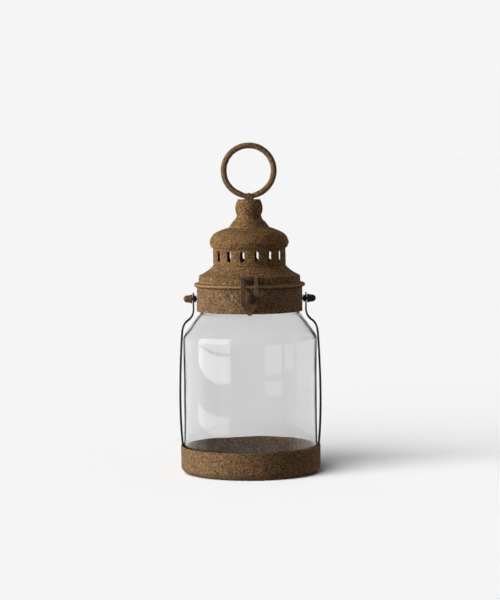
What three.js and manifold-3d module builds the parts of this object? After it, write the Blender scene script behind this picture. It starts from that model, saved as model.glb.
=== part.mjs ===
// Jar lantern: a glass jar that stands in an iron tray, under a collar with a hinged, vented lid.
// Two sprung straps rise from the tray to the collar, a hasp closes the lid and a ring carries it.
// Millimetres, +Z up, hasp towards -Y, origin at the middle of the tray's underside.

import * as THREE from "three";
import { mergeVertices } from "three/addons/utils/BufferGeometryUtils.js";
import Module from "manifold-3d";

const wasm = await Module();
wasm.setup();

// Shared sizes
const airGap = 0.3; // left between two pieces that touch
const sheet = 1.2; // iron sheet of the tray, collar, lid and leaves
const headThick = 1.5; // screw and rivet heads inside the collar
const roundFaces = 40; // sides of the large round pieces

// Glass jar
const jarR = 66.8;
const jarWall = 3;
const jarFloor = 5;
const jarFootR = 9; // rounding between the side and the foot
const jarPunt = 3; // how far the foot is hollowed
const jarKick = 4.5; // how far the floor inside rises to its middle
const jarPuntR = 44; // of the hollow and the rise over it
const jarBody = 133; // height from the foot to the shoulder
const jarShoulder = 26;
const jarNeck = 24.2;
const jarRimBead = 5; // height of the thicker rim
const neckR = 49.5;

// Side straps
const strapThick = 1.3;
const strapWidth = 9;
const strapBow = 2.9; // how far the strap bows away from its foot
const strapTipRise = 6.1; // from the pivot to the strap's tip
const strapKneeRise = 3.5; // from the jar's shoulder to the strap's outer bend
const strapLeanStart = 9.2; // heights over the outer bend where the strap starts to lean in,
const strapLeanMiddle = 12.8; // crosses from one bend to the other,
const strapLeanEnd = 17; // stops leaning,
const strapUprightAt = 24; // and stands upright again

// Tray
const trayHeight = 27.8;
const trayCornerR = 8;

// Collar and pivots
const collarHeight = 24.2;
const collarLip = 1.2; // rounding of the collar's lower edge
const collarLipSweep = 60; // degrees of it
const throatR = 44;
const pivotDrop = 11.7; // from the collar's top edge to the pivot
const pivotScrewR = 1.6;
const pivotHeadR = 3.2;
const spacerLength = 2;
const spacerR = 4;
const spacerWaistR = 2.8;
const capNutLength = 9;
const capNutR = 4.35;
const capNutBodyR = 3.75;
const capNutShoulder = 2.6; // width of the nut's wider end
const capNutBore = 5.5;

// Lid
const beadR = 2.1; // half the thickness of the rolled bead
const beadReach = 2.75; // how far the bead stands out past the collar
const lidWallHeight = 11.5;
const lidWallTaper = 1; // how much narrower the wall is at its top
const coveRise = 10.8;
const ventDrumR = 36.4;
const ventDrumHeight = 15.9;
const spigotHeight = 2.8; // of the skirt inside the drum
const ventCount = 16;
const ventWidth = 4;
const ventHeight = 9.8;
const ventFoot = 3.5; // from the drum's foot to the vents
const ventDrift = 4; // degrees by which the rear vents have crept round
const domeR = 40;
const domeHeight = 21;
const domeCrownR = 20.4;
const domeRidge = 6; // from the dome's foot to its widest line

// Finial
const finialFootR = 20;
const finialStepR = 17.6;
const finialNeckR = 12.4;
const finialKnobR = 14;
const finialTopR = 11.2;
const finialHeight = 27.4;
const finialRivetR = 4.7;
const finialRivetLength = 5;

// Carry ring and its eye
const ringR = 25.4; // to the middle of the wire
const ringWireR = 2.6;
const ringLift = 0.5; // under the wire, over the knob
const eyeClear = 0.4;
const eyeSheet = 1;
const eyeWidth = 7.2;
const eyeCrownWidth = 3;
const eyeRoot = 4.5; // depth of the eye's legs in the knob

// Hasp
const haspWidth = 17.6;
const haspTipWidth = 9.6;
const haspThick = 1.2;
const haspBarrelR = 2.3;
const haspPinR = 0.9;
const haspPinClear = 0.3;
const haspLength = 36.4; // from the pin to the lower edge
const haspWindowWidth = 8.8;
const haspWindowDrop = 16.7; // from the pin to the window's lower edge
const haspKnobDrop = 20.6;
const haspKnobR = 4.7;
const haspKnobHeight = 3.6;
const haspSetback = 2.1; // how far the lower end lies back
const haspRivetR = 1.5;
const catchR = 3;
const catchHeight = 1.8;

// Rear hinge
const hingeWidth = 24;
const hingeKnuckle = 8; // width of the middle knuckle
const hingeBarrelR = 2.6;
const hingePinR = 1.2;
const hingePinClear = 0.3;
const lowerLeafHeight = 15;
const upperLeafHeight = 5.4;
const rivetR = 1.2;
const rivetHeadR = 2.4;
const rivetSpacing = 15;

// Places that follow from the sizes
const facet = 1 / Math.cos(Math.PI / roundFaces); // corner radius of a round piece over its flat's
const jarBaseZ = sheet + airGap;
const shoulderZ = jarBaseZ + jarBody;
const neckZ = shoulderZ + jarShoulder;
const jarTopZ = neckZ + jarNeck;
const strapFootR = jarR + airGap + strapThick / 2;
const trayInnerR = Math.hypot(strapFootR + strapThick / 2, strapWidth / 2) * facet + airGap;
const trayR = trayInnerR + sheet;
const screwSeatR = neckR + airGap + headThick; // outer face of the pivot screws' heads
const collarInnerR = Math.hypot(screwSeatR, pivotHeadR) * facet + airGap;
const collarR = collarInnerR + sheet;
const collarTopZ = jarTopZ + airGap + sheet;
const collarZ = collarTopZ - collarHeight;
const pivotZ = collarTopZ - pivotDrop;
const strapTopR = collarR + airGap + spacerLength + airGap + strapThick / 2;
const lidZ = collarTopZ + airGap;
const beadCentreR = collarR + beadReach - beadR;
const beadZ = lidZ + beadR;
const lidWallR = beadCentreR - beadR;
const lidWallTopZ = lidZ + lidWallHeight;
const lidWallTopR = lidWallR - lidWallTaper;
const drumZ = lidWallTopZ + coveRise;
const drumTopZ = drumZ + ventDrumHeight;
const domeZ = drumTopZ + airGap;
const domeTopZ = domeZ + domeHeight;
const finialZ = domeTopZ + airGap;
const knobTopZ = finialZ + finialHeight;
const ringPivotZ = knobTopZ + ringLift + ringWireR;
const haspPinY = -(beadCentreR + beadR + airGap + haspThick - haspBarrelR);
const haspPinZ = lidWallTopZ - 0.25 * haspBarrelR;
const knobZ = haspPinZ - haspKnobDrop;
const hingeY = (beadCentreR + beadR) * facet + airGap + hingeBarrelR;
const hingeZ = collarTopZ + airGap / 2;

// Looks of the bare pieces
const rustyIron = () =>
  new THREE.MeshStandardMaterial({ color: 0x7a5f43, roughness: 0.85, metalness: 0.35 });
const darkIron = () =>
  new THREE.MeshStandardMaterial({ color: 0x3a2d20, roughness: 0.7, metalness: 0.5 });
const clearGlass = () =>
  new THREE.MeshStandardMaterial({
    color: 0xe9eeee,
    roughness: 0.05,
    metalness: 0,
    transparent: true,
    opacity: 0.3,
  });

// A closed geometry as a solid that can be joined and cut.
function toSolid(geometry) {
  const bare = geometry.clone();
  bare.deleteAttribute("normal");
  bare.deleteAttribute("uv");
  const merged = mergeVertices(bare, 1e-4);
  const corners = [];
  for (let i = 0; i < merged.index.count; i += 3) {
    const [a, b, c] = [0, 1, 2].map((k) => merged.index.getX(i + k));
    // A triangle at the pole of a revolve has no area.
    if (a !== b && b !== c && c !== a) corners.push(a, b, c);
  }
  return new wasm.Manifold(
    new wasm.Mesh({
      numProp: 3,
      vertProperties: merged.attributes.position.array,
      triVerts: new Uint32Array(corners),
    }),
  );
}

function toGeometry(solid) {
  const { vertProperties, triVerts } = solid.getMesh();
  const geometry = new THREE.BufferGeometry();
  geometry.setAttribute("position", new THREE.BufferAttribute(vertProperties, 3));
  geometry.setIndex(new THREE.BufferAttribute(triVerts, 1));
  geometry.computeVertexNormals();
  return geometry;
}

function piece(name, solid, material) {
  const mesh = new THREE.Mesh(toGeometry(solid), material);
  mesh.name = name;
  return mesh;
}

const join = (first, ...rest) => rest.reduce((sum, next) => sum.add(next), first);
const cut = (first, ...rest) => rest.reduce((left, next) => left.subtract(next), first);

// Points on an arc, both ends included, in degrees.
function arc(cx, cy, r, from, to, steps) {
  return Array.from({ length: steps + 1 }, (_, i) => {
    const a = THREE.MathUtils.degToRad(from + ((to - from) * i) / steps);
    return [cx + r * Math.cos(a), cy + r * Math.sin(a)];
  });
}

// The unseen side of a thin wall follows its curve with half the points.
const everyOther = (points) => points.filter((_, i) => i % 2 === 0 || i === points.length - 1);

// A profile of [radius, height] pairs turned about Z.
function revolve(profile, faces = roundFaces) {
  const points = profile.map(([r, z]) => new THREE.Vector2(r, z));
  return toSolid(new THREE.LatheGeometry(points, faces).rotateX(Math.PI / 2));
}

// A closed ring profile turned about Z.
const revolveRing = (profile, faces) => revolve([...profile, profile[0]], faces);

function shapeOf(points) {
  return new THREE.Shape(points.map(([u, v]) => new THREE.Vector2(u, v)));
}

function extrude(shape, depth) {
  const options = { depth, bevelEnabled: false, curveSegments: 5 };
  return new THREE.ExtrudeGeometry(shape, options).translate(0, 0, -depth / 2);
}

const axisX = new THREE.Vector3(1, 0, 0);
const axisY = new THREE.Vector3(0, 1, 0);
const axisZ = new THREE.Vector3(0, 0, 1);

// A side outline in [y, z], given its width along X about x = 0.
function alongX(shape, width) {
  const turn = new THREE.Matrix4().makeBasis(axisY, axisZ, axisX);
  return toSolid(extrude(shape, width).applyMatrix4(turn));
}

// A front outline in [x, z], given its depth along Y about y = 0.
function alongY(shape, depth) {
  const turn = new THREE.Matrix4().makeBasis(axisX, axisZ, axisY.clone().negate());
  return toSolid(extrude(shape, depth).applyMatrix4(turn));
}

function block(x0, x1, y0, y1, z0, z1) {
  const box = new THREE.BoxGeometry(x1 - x0, y1 - y0, z1 - z0);
  return toSolid(box.translate((x0 + x1) / 2, (y0 + y1) / 2, (z0 + z1) / 2));
}

// A round bar along X, centred on [y, z].
function barX(radius, x0, x1, y, z, faces = 16) {
  const bar = new THREE.CylinderGeometry(radius, radius, x1 - x0, faces);
  return toSolid(bar.rotateZ(Math.PI / 2).translate((x0 + x1) / 2, y, z));
}

// A round bar along Y, centred on [x, z].
function barY(radius, y0, y1, x, z, faces = 12) {
  const bar = new THREE.CylinderGeometry(radius, radius, y1 - y0, faces);
  return toSolid(bar.translate(x, (y0 + y1) / 2, z));
}

// The outline of a strip of even thickness whose middle follows the points.
function stripShape(points, thickness) {
  const offset = (side) =>
    points.map((point, i) => {
      const before = points[Math.max(i - 1, 0)];
      const after = points[Math.min(i + 1, points.length - 1)];
      const along = new THREE.Vector2().subVectors(after, before).normalize();
      const half = (side * thickness) / 2;
      return [point.x - along.y * half, point.y + along.x * half];
    });
  return shapeOf([...offset(-1), ...offset(1).reverse()]);
}

// Tray: a shallow pan with a rounded lower corner and a soft rim
function baseTray() {
  const cornerR = trayR - trayCornerR;
  const profile = [
    [0, 0],
    ...arc(cornerR, trayCornerR, trayCornerR, -90, 0, 4),
    [trayR, trayHeight - sheet / 3],
    [trayR - sheet / 3, trayHeight],
    [trayInnerR + sheet / 3, trayHeight],
    [trayInnerR, trayHeight - sheet / 3],
    ...arc(cornerR, trayCornerR, trayCornerR - sheet, 0, -90, 3),
    [0, sheet],
  ];
  return piece("base_tray", revolve(profile), rustyIron());
}

// Jar: thick hollowed foot, straight side, sloping shoulder and a beaded rim that fits the collar
function glassJar() {
  const innerR = jarR - jarWall;
  const mouthR = neckR - jarWall;
  const rimR = collarInnerR - airGap;
  const rimZ = jarTopZ - jarRimBead;
  const floorZ = jarBaseZ + jarFloor;
  const bulgeR = 0.6 * jarPuntR; // where the rise of the floor bends
  const bulgeShare = 0.8; // and the share of its height there
  const bendRun = 3.4; // half the length of glass in each bend of the shoulder
  const slope = Math.atan2(jarShoulder, jarR - neckR);
  const bendX = bendRun * Math.cos(slope);
  const bendZ = bendRun * Math.sin(slope);
  const wallUp = jarWall * Math.tan((Math.PI / 2 - slope) / 2); // the inner bends lie lower
  const profile = [
    [0, jarBaseZ + jarPunt],
    [bulgeR, jarBaseZ + bulgeShare * jarPunt],
    [jarPuntR, jarBaseZ],
    ...arc(jarR - jarFootR, jarBaseZ + jarFootR, jarFootR, -90, 0, 3),
    [jarR, shoulderZ - bendRun],
    [jarR - 0.25 * bendX, shoulderZ],
    [jarR - bendX, shoulderZ + bendZ],
    [neckR + bendX, neckZ - bendZ],
    [neckR + 0.25 * bendX, neckZ],
    [neckR, neckZ + bendRun],
    [neckR, rimZ - 1],
    [rimR, rimZ],
    [rimR, jarTopZ - 1.5],
    [rimR - 1.2, jarTopZ],
    [mouthR + 1.2, jarTopZ],
    [mouthR, jarTopZ - 1.2],
    [mouthR, neckZ + bendRun - wallUp],
    [mouthR + bendX, neckZ - bendZ - wallUp],
    [innerR - bendX, shoulderZ + bendZ - wallUp],
    [innerR, shoulderZ - bendRun - wallUp],
    ...arc(innerR - jarFootR / 2, floorZ + jarFootR / 2, jarFootR / 2, 0, -90, 2),
    [jarPuntR, floorZ],
    [bulgeR, floorZ + bulgeShare * jarKick],
    [0, floorZ + jarKick],
  ];
  return piece("glass_jar", revolve(profile), clearGlass());
}

// Collar: a band round the neck with a flange that holds the jar down
function collarBand() {
  const profile = [
    [collarInnerR, collarZ],
    [collarR - collarLip, collarZ],
    ...arc(collarR - collarLip, collarZ + collarLip, collarLip, -collarLipSweep, 0, 2),
    [collarR, collarTopZ - sheet / 2],
    [collarR - sheet / 2, collarTopZ],
    [throatR, collarTopZ],
    [throatR, collarTopZ - sheet],
    [collarInnerR, collarTopZ - sheet],
  ];
  const pivotHole = barX(pivotScrewR + airGap, -2 * collarR, 2 * collarR, 0, pivotZ, 12);
  const catchHole = barY(rivetR + airGap, -2 * collarR, 0, 0, knobZ, 8);
  const rivetHoles = rivetPlaces.map((x) => barY(rivetR + airGap, 0, 2 * collarR, x, lowerRivetZ, 8));
  const solid = cut(revolveRing(profile), pivotHole, catchHole, ...rivetHoles);
  return piece("collar_band", solid, rustyIron());
}

// Strap: a flat strip from the tray, bowed past the jar and bent in to stand beside the collar
function strapPath() {
  const footZ = trayCornerR + airGap;
  const rimZ = trayHeight - 1.8;
  const kneeZ = shoulderZ + strapKneeRise;
  const reach = strapFootR - strapTopR;
  const bend = jarShoulder / 26;
  const path = new THREE.Path();
  path.moveTo(strapFootR, footZ);
  path.lineTo(strapFootR, rimZ);
  path.bezierCurveTo(
    strapFootR + 1.6 * strapBow,
    rimZ + 0.26 * (kneeZ - rimZ),
    strapFootR + 1.05 * strapBow,
    rimZ + 0.7 * (kneeZ - rimZ),
    strapFootR,
    kneeZ,
  );
  path.quadraticCurveTo(
    strapFootR - 0.05 * reach,
    kneeZ + strapLeanStart * bend,
    strapFootR - 0.48 * reach,
    kneeZ + strapLeanMiddle * bend,
  );
  const leanEndZ = kneeZ + strapLeanEnd * bend;
  path.quadraticCurveTo(strapTopR, leanEndZ, strapTopR, kneeZ + strapUprightAt * bend);
  path.lineTo(strapTopR, pivotZ + strapTipRise);
  return path.getPoints(8);
}

function strap(name, side) {
  const strip = alongY(stripShape(strapPath(), strapThick), strapWidth);
  const half = strapWidth / 2;
  const tipZ = pivotZ + strapTipRise - half;
  const outline = shapeOf([[-half, 0], [half, 0], ...arc(0, tipZ, half, 0, 180, 8)]);
  const hole = barX(pivotScrewR + airGap, 0, 2 * strapFootR, 0, pivotZ, 12);
  const mesh = piece(name, cut(strip.intersect(alongX(outline, 4 * trayR)), hole), darkIron());
  mesh.rotation.z = side < 0 ? Math.PI : 0;
  return mesh;
}

// Pivot hardware, turned about its own Z axis, which points out of the collar
function spacer() {
  const waist = spacerLength / 2;
  const bore = pivotScrewR + airGap;
  const profile = [
    [bore, 0],
    [spacerR, 0],
    [spacerWaistR, waist],
    [spacerR, spacerLength],
    [bore, spacerLength],
  ];
  return revolveRing(profile, 16);
}

function pivotScrew() {
  const headIn = -headThick;
  const shankOut = strapTopR + strapThick / 2 + airGap + capNutBore - screwSeatR;
  const profile = [
    [0, headIn],
    [pivotHeadR - 0.5, headIn],
    [pivotHeadR, headIn + 0.5],
    [pivotHeadR, 0],
    [pivotScrewR, 0],
    [pivotScrewR, shankOut],
    [0, shankOut],
  ];
  return revolve(profile, 16);
}

function capNut() {
  const bore = pivotScrewR + airGap;
  const noseZ = capNutLength - capNutBodyR;
  const profile = [
    [0, capNutBore + 2 * airGap],
    [bore, capNutBore + 2 * airGap],
    [bore, 0],
    [capNutR - 0.5, 0],
    [capNutR, 0.5],
    [capNutR, capNutShoulder - 0.5],
    [capNutBodyR, capNutShoulder],
    ...arc(0, noseZ, capNutBodyR, 0, 90, 4),
  ];
  return revolve(profile, 16);
}

// Fittings of one side, each set on the pivot axis and turned to point outwards
function pivotFittings(sideName, side) {
  const places = [
    ["pivot_screw", pivotScrew(), screwSeatR],
    ["spacer", spacer(), collarR + airGap],
    ["cap_nut", capNut(), strapTopR + strapThick / 2 + airGap],
  ];
  return places.map(([name, solid, radius]) => {
    const mesh = piece(`${name}_${sideName}`, solid, darkIron());
    mesh.position.set(side * radius, 0, pivotZ);
    mesh.rotation.y = (side * Math.PI) / 2;
    return mesh;
  });
}

// Rear hinge
const rivetPlaces = [-rivetSpacing / 2, rivetSpacing / 2];
const lowerLeafZ = hingeZ - hingeBarrelR - lowerLeafHeight - 2;
const lowerRivetZ = lowerLeafZ + lowerLeafHeight / 2;
const upperLeafTopZ = lidWallTopZ - airGap;
const upperRivetZ = upperLeafTopZ - upperLeafHeight / 2;

// Radius of the lid wall's outside at a height.
function lidWallAt(z) {
  return lidWallR - (lidWallTaper * (z - lidZ)) / lidWallHeight;
}

const halfKnuckle = hingeKnuckle / 2;
const halfHinge = hingeWidth / 2;

const hingeBore = (x0, x1) => barX(hingePinR + hingePinClear, x0, x1, hingeY, hingeZ, 12);

function hingeLeafLower() {
  const innerR = collarR + airGap;
  const pad = revolveRing([
    [innerR, lowerLeafZ],
    [innerR + sheet, lowerLeafZ],
    [innerR + sheet, lowerLeafZ + lowerLeafHeight],
    [innerR, lowerLeafZ + lowerLeafHeight],
  ]).intersect(block(-halfHinge, halfHinge, 0, 2 * collarR, 0, 2 * lidZ));
  const neckPath = [
    new THREE.Vector2(innerR + sheet / 2, lowerLeafZ + lowerLeafHeight - 3),
    new THREE.Vector2(innerR + sheet / 2, lowerLeafZ + lowerLeafHeight - 1),
    new THREE.Vector2(hingeY, hingeZ - hingeBarrelR + sheet / 2),
  ];
  const neck = alongX(stripShape(neckPath, sheet), hingeWidth);
  const barrel = barX(hingeBarrelR, -halfHinge, halfHinge, hingeY, hingeZ);
  const gapX = halfKnuckle + airGap;
  const clearZ = hingeZ - hingeBarrelR - airGap - sheet;
  const knuckleGap = block(-gapX, gapX, hingeY - 2 * hingeBarrelR, 2 * collarR, clearZ, 2 * lidZ);
  const holes = rivetPlaces.map((x) => barY(rivetR + airGap, 0, 2 * collarR, x, lowerRivetZ, 8));
  const insideCollar = revolve([[0, 0], [innerR, 0], [innerR, 2 * lidZ], [0, 2 * lidZ]]);
  const body = cut(join(neck, barrel), knuckleGap, insideCollar);
  const solid = cut(join(pad, body), hingeBore(-hingeWidth, hingeWidth), ...holes);
  return piece("hinge_leaf_lower", solid, rustyIron());
}

function hingeLeafUpper() {
  const footZ = upperLeafTopZ - upperLeafHeight;
  const innerR = (z) => lidWallAt(z) + airGap;
  const pad = revolveRing([
    [innerR(footZ), footZ],
    [innerR(footZ) + sheet, footZ],
    [innerR(upperLeafTopZ) + sheet, upperLeafTopZ],
    [innerR(upperLeafTopZ), upperLeafTopZ],
  ]).intersect(block(-halfHinge, halfHinge, 0, 2 * collarR, 0, 2 * lidZ));
  const overBeadZ = beadZ + beadR + airGap + sheet / 2;
  const neckPath = [
    new THREE.Vector2(hingeY + 0.3, hingeZ + hingeBarrelR - sheet / 2),
    new THREE.Vector2(hingeY - 0.7, overBeadZ - 0.8),
    new THREE.Vector2(hingeY - 1.8, overBeadZ + 0.3),
    new THREE.Vector2(innerR(footZ) + sheet / 2, footZ + sheet / 2),
  ];
  const neck = alongX(stripShape(neckPath, sheet), hingeKnuckle);
  const knuckle = barX(hingeBarrelR, -halfKnuckle, halfKnuckle, hingeY, hingeZ);
  const holes = rivetPlaces.map((x) => barY(rivetR + airGap, 0, 2 * collarR, x, upperRivetZ, 8));
  const solid = cut(join(pad, neck, knuckle), hingeBore(-hingeWidth, hingeWidth), ...holes);
  return piece("hinge_leaf_upper", solid, rustyIron());
}

function hingePin() {
  const head = 1.2;
  const reach = halfHinge + airGap;
  const solid = join(
    barX(hingePinR, -reach - head / 2, reach + head / 2, hingeY, hingeZ, 12),
    barX(hingePinR + 0.8, -reach - head, -reach, hingeY, hingeZ, 12),
    barX(hingePinR + 0.8, reach, reach + head, hingeY, hingeZ, 12),
  );
  return piece("hinge_pin", solid, darkIron());
}

// A rivet along Y with a low domed head outside and a flat one inside
function rivet(name, x, z, insideY, outsideY) {
  const length = outsideY - insideY;
  const profile = [
    [0, -headThick / 2],
    [rivetHeadR - 0.4, -headThick / 2],
    [rivetHeadR - 0.4, 0],
    [rivetR, 0],
    [rivetR, length],
    [rivetHeadR, length],
    [0.6 * rivetHeadR, length + 0.9],
    [0, length + 1.1],
  ];
  const mesh = piece(name, revolve(profile, 12), darkIron());
  mesh.position.set(x, insideY, z);
  mesh.rotation.x = -Math.PI / 2;
  return mesh;
}

// How far back from a radius the surface lies at the rivets' distance from the middle plane.
const behind = (radius, x) => Math.sqrt(radius * radius - x * x);

function hingeRivets(level, z, wallInnerR, leafOuterR) {
  return rivetPlaces.map((x) => {
    const sideName = x < 0 ? "left" : "right";
    const inside = behind(wallInnerR, Math.abs(x) + rivetHeadR) - airGap;
    const outside = behind(leafOuterR, Math.abs(x) - rivetHeadR) + airGap;
    return rivet(`hinge_rivet_${level}_${sideName}`, x, z, inside, outside);
  });
}

// Lid skirt: rolled bead, tapered wall, crisp edge, hollow slope and a spigot inside the drum
function lidSkirt() {
  const slope = new THREE.QuadraticBezierCurve(
    new THREE.Vector2(lidWallTopR, lidWallTopZ),
    new THREE.Vector2(ventDrumR + 3.2, lidWallTopZ + 0.48 * coveRise),
    new THREE.Vector2(ventDrumR, drumZ - airGap),
  )
    .getPoints(5)
    .map((p) => [p.x, p.y]);
  const inner = everyOther(slope.map(([r, z]) => [r - 0.8 * sheet, z - sheet])).reverse();
  const spigotR = ventDrumR - sheet - airGap;
  const beadTopZ = beadZ + beadR;
  const profile = [
    [lidWallR - sheet, lidZ],
    ...arc(beadCentreR, beadZ, beadR, -90, 90, 5),
    [lidWallAt(beadTopZ), beadTopZ],
    ...slope,
    [spigotR, drumZ - airGap],
    [spigotR, drumZ + spigotHeight],
    [spigotR - sheet, drumZ + spigotHeight],
    [spigotR - sheet, inner[0][1]],
    ...inner.slice(1),
  ];
  const holes = rivetPlaces.map((x) => barY(rivetR + airGap, 0, 2 * collarR, x, upperRivetZ, 8));
  return piece("lid_skirt", cut(revolveRing(profile), ...holes), rustyIron());
}

// Vent drum: a cylinder pierced all round by upright slots with round ends
function ventSlot(angle) {
  const half = ventWidth / 2;
  const z0 = drumZ + ventFoot + half;
  const z1 = drumZ + ventFoot + ventHeight - half;
  const outline = shapeOf([...arc(0, z0, half, 180, 360, 4), ...arc(0, z1, half, 0, 180, 4)]);
  const slot = alongY(outline, 2 * ventDrumR).translate([0, -ventDrumR, 0]);
  return slot.rotate([0, 0, angle]);
}

function ventDrum() {
  const innerR = ventDrumR - sheet;
  const wall = revolveRing([
    [innerR, drumZ],
    [ventDrumR, drumZ],
    [ventDrumR, drumTopZ],
    [innerR, drumTopZ],
  ]);
  const pitch = 360 / ventCount;
  const slots = Array.from({ length: ventCount }, (_, i) => {
    const angle = (i + 0.5) * pitch;
    const rear = Math.sin(THREE.MathUtils.degToRad(angle) / 2) ** 2;
    return ventSlot(angle - ventDrift * rear);
  });
  return piece("vent_drum", cut(wall, ...slots), rustyIron());
}

// Dome: a lip over the drum, a faint ridge and a rounded top with a hole for the finial's rivet
function domeCap() {
  const lipR = ventDrumR + 0.6;
  const ridgeZ = domeZ + domeRidge;
  const crown = new THREE.CubicBezierCurve(
    new THREE.Vector2(domeR, ridgeZ),
    new THREE.Vector2(domeR - 1.9, ridgeZ + 0.62 * (domeTopZ - ridgeZ)),
    new THREE.Vector2(domeR - 7, domeTopZ - 4.2),
    new THREE.Vector2(domeCrownR, domeTopZ),
  )
    .getPoints(7)
    .map((p) => [p.x, p.y]);
  const holeR = finialRivetR + airGap;
  const under = everyOther(crown.map(([r, z]) => [r - sheet * 0.9, z - sheet * 0.75])).reverse();
  const seatR = ventDrumR - 2 * sheet;
  const profile = [
    [seatR, domeZ],
    [lipR, domeZ],
    [lipR + 1.4, domeZ + 1.2],
    [domeR - 0.7, domeZ + 0.55 * domeRidge],
    ...crown,
    [holeR, domeTopZ],
    [holeR, domeTopZ - sheet],
    ...under,
    [domeR - 0.7 - sheet, domeZ + 0.62 * domeRidge],
    [lipR - 0.2, domeZ + 1.5 * sheet],
    [seatR, domeZ + sheet],
  ];
  return piece("dome_cap", revolveRing(profile), rustyIron());
}

// Finial: flared foot with a step, a neck and a knob, riveted through the dome
function finial() {
  const h = finialHeight;
  const profile = [
    [0, -finialRivetLength],
    [finialRivetR, -finialRivetLength],
    [finialRivetR, 0],
    [finialFootR, 0],
    [finialFootR - 0.7, 0.08 * h],
    [finialStepR + 0.4, 0.14 * h],
    [finialStepR, 0.165 * h],
    [finialStepR - 1.7, 0.18 * h],
    [finialNeckR + 1.6, 0.24 * h],
    [finialNeckR + 0.6, 0.31 * h],
    [finialNeckR, 0.41 * h],
    [finialNeckR + 0.5, 0.48 * h],
    [finialKnobR - 0.4, 0.56 * h],
    [finialKnobR, 0.65 * h],
    [finialKnobR - 0.3, 0.77 * h],
    [finialKnobR - 1.1, 0.88 * h],
    [finialTopR + 0.6, 0.96 * h],
    [finialTopR, h],
    [0, h],
  ].map(([r, z]) => [r, finialZ + z]);
  const legX = eyeWidth / 2 + airGap;
  const legIn = ringWireR + eyeClear - airGap;
  const legOut = ringWireR + eyeClear + eyeSheet + airGap;
  const floorZ = knobTopZ - eyeRoot - airGap;
  const pockets = [-1, 1].map((side) => {
    const [y0, y1] = side < 0 ? [-legOut, -legIn] : [legIn, legOut];
    return block(-legX, legX, y0, y1, floorZ, knobTopZ + 1);
  });
  return piece("finial", cut(revolve(profile, 28), ...pockets), rustyIron());
}

// Ring eye: a strip bent over the wire, wide at its legs and narrow over the crown
function ringEye() {
  const innerR = ringWireR + eyeClear;
  const outerR = innerR + eyeSheet;
  const footZ = knobTopZ - eyeRoot;
  const bridge = shapeOf([
    [-outerR, footZ],
    [-innerR, footZ],
    ...arc(0, ringPivotZ, innerR, 180, 0, 8),
    [innerR, footZ],
    [outerR, footZ],
    ...arc(0, ringPivotZ, outerR, 0, 180, 8),
  ]);
  const front = shapeOf([
    [-eyeWidth / 2, footZ],
    [eyeWidth / 2, footZ],
    [eyeWidth / 2, ringPivotZ - 0.4],
    [eyeCrownWidth / 2, ringPivotZ + 1.9],
    [eyeCrownWidth / 2, ringPivotZ + 2 * outerR],
    [-eyeCrownWidth / 2, ringPivotZ + 2 * outerR],
    [-eyeCrownWidth / 2, ringPivotZ + 1.9],
    [-eyeWidth / 2, ringPivotZ - 0.4],
  ]);
  return piece("ring_eye", alongX(bridge, eyeWidth).intersect(alongY(front, 4 * outerR)), rustyIron());
}

function carryRing() {
  const ring = new THREE.TorusGeometry(ringR, ringWireR, 10, 36);
  const mesh = piece("carry_ring", toSolid(ring.rotateX(Math.PI / 2)), rustyIron());
  mesh.position.z = ringR;
  return mesh;
}

// Hasp: the bracket on the lid carries the middle knuckle, the plate the two outer ones
const haspBore = () => barX(haspPinR + haspPinClear, -haspWidth, haspWidth, haspPinY, haspPinZ, 10);
const midKnuckle = haspWindowWidth / 2 - airGap;

function haspBracket() {
  const footZ = beadZ + beadR + 2 * airGap;
  const innerR = (z) => lidWallAt(z) + airGap;
  const topZ = upperLeafTopZ;
  const pad = revolveRing([
    [innerR(footZ), footZ],
    [innerR(footZ) + sheet, footZ],
    [innerR(topZ) + sheet, topZ],
    [innerR(topZ), topZ],
  ]).intersect(block(-haspWidth / 2, haspWidth / 2, -2 * collarR, 0, 0, 2 * lidZ));
  const neckY = -(innerR(topZ) + sheet / 2);
  const neck = block(-midKnuckle, midKnuckle, haspPinY, neckY, haspPinZ - sheet, topZ);
  const knuckle = barX(haspBarrelR, -midKnuckle, midKnuckle, haspPinY, haspPinZ);
  return piece("hasp_bracket", cut(join(pad, neck, knuckle), haspBore()), rustyIron());
}

function haspPin() {
  const head = 0.8;
  const reach = haspWidth / 2 + airGap;
  const solid = join(
    barX(haspPinR, -reach - head / 2, reach + head / 2, haspPinY, haspPinZ, 10),
    barX(haspPinR + 0.6, -reach - head, -reach, haspPinY, haspPinZ, 10),
    barX(haspPinR + 0.6, reach, reach + head, haspPinY, haspPinZ, 10),
  );
  return piece("hasp_pin", solid, darkIron());
}

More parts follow.
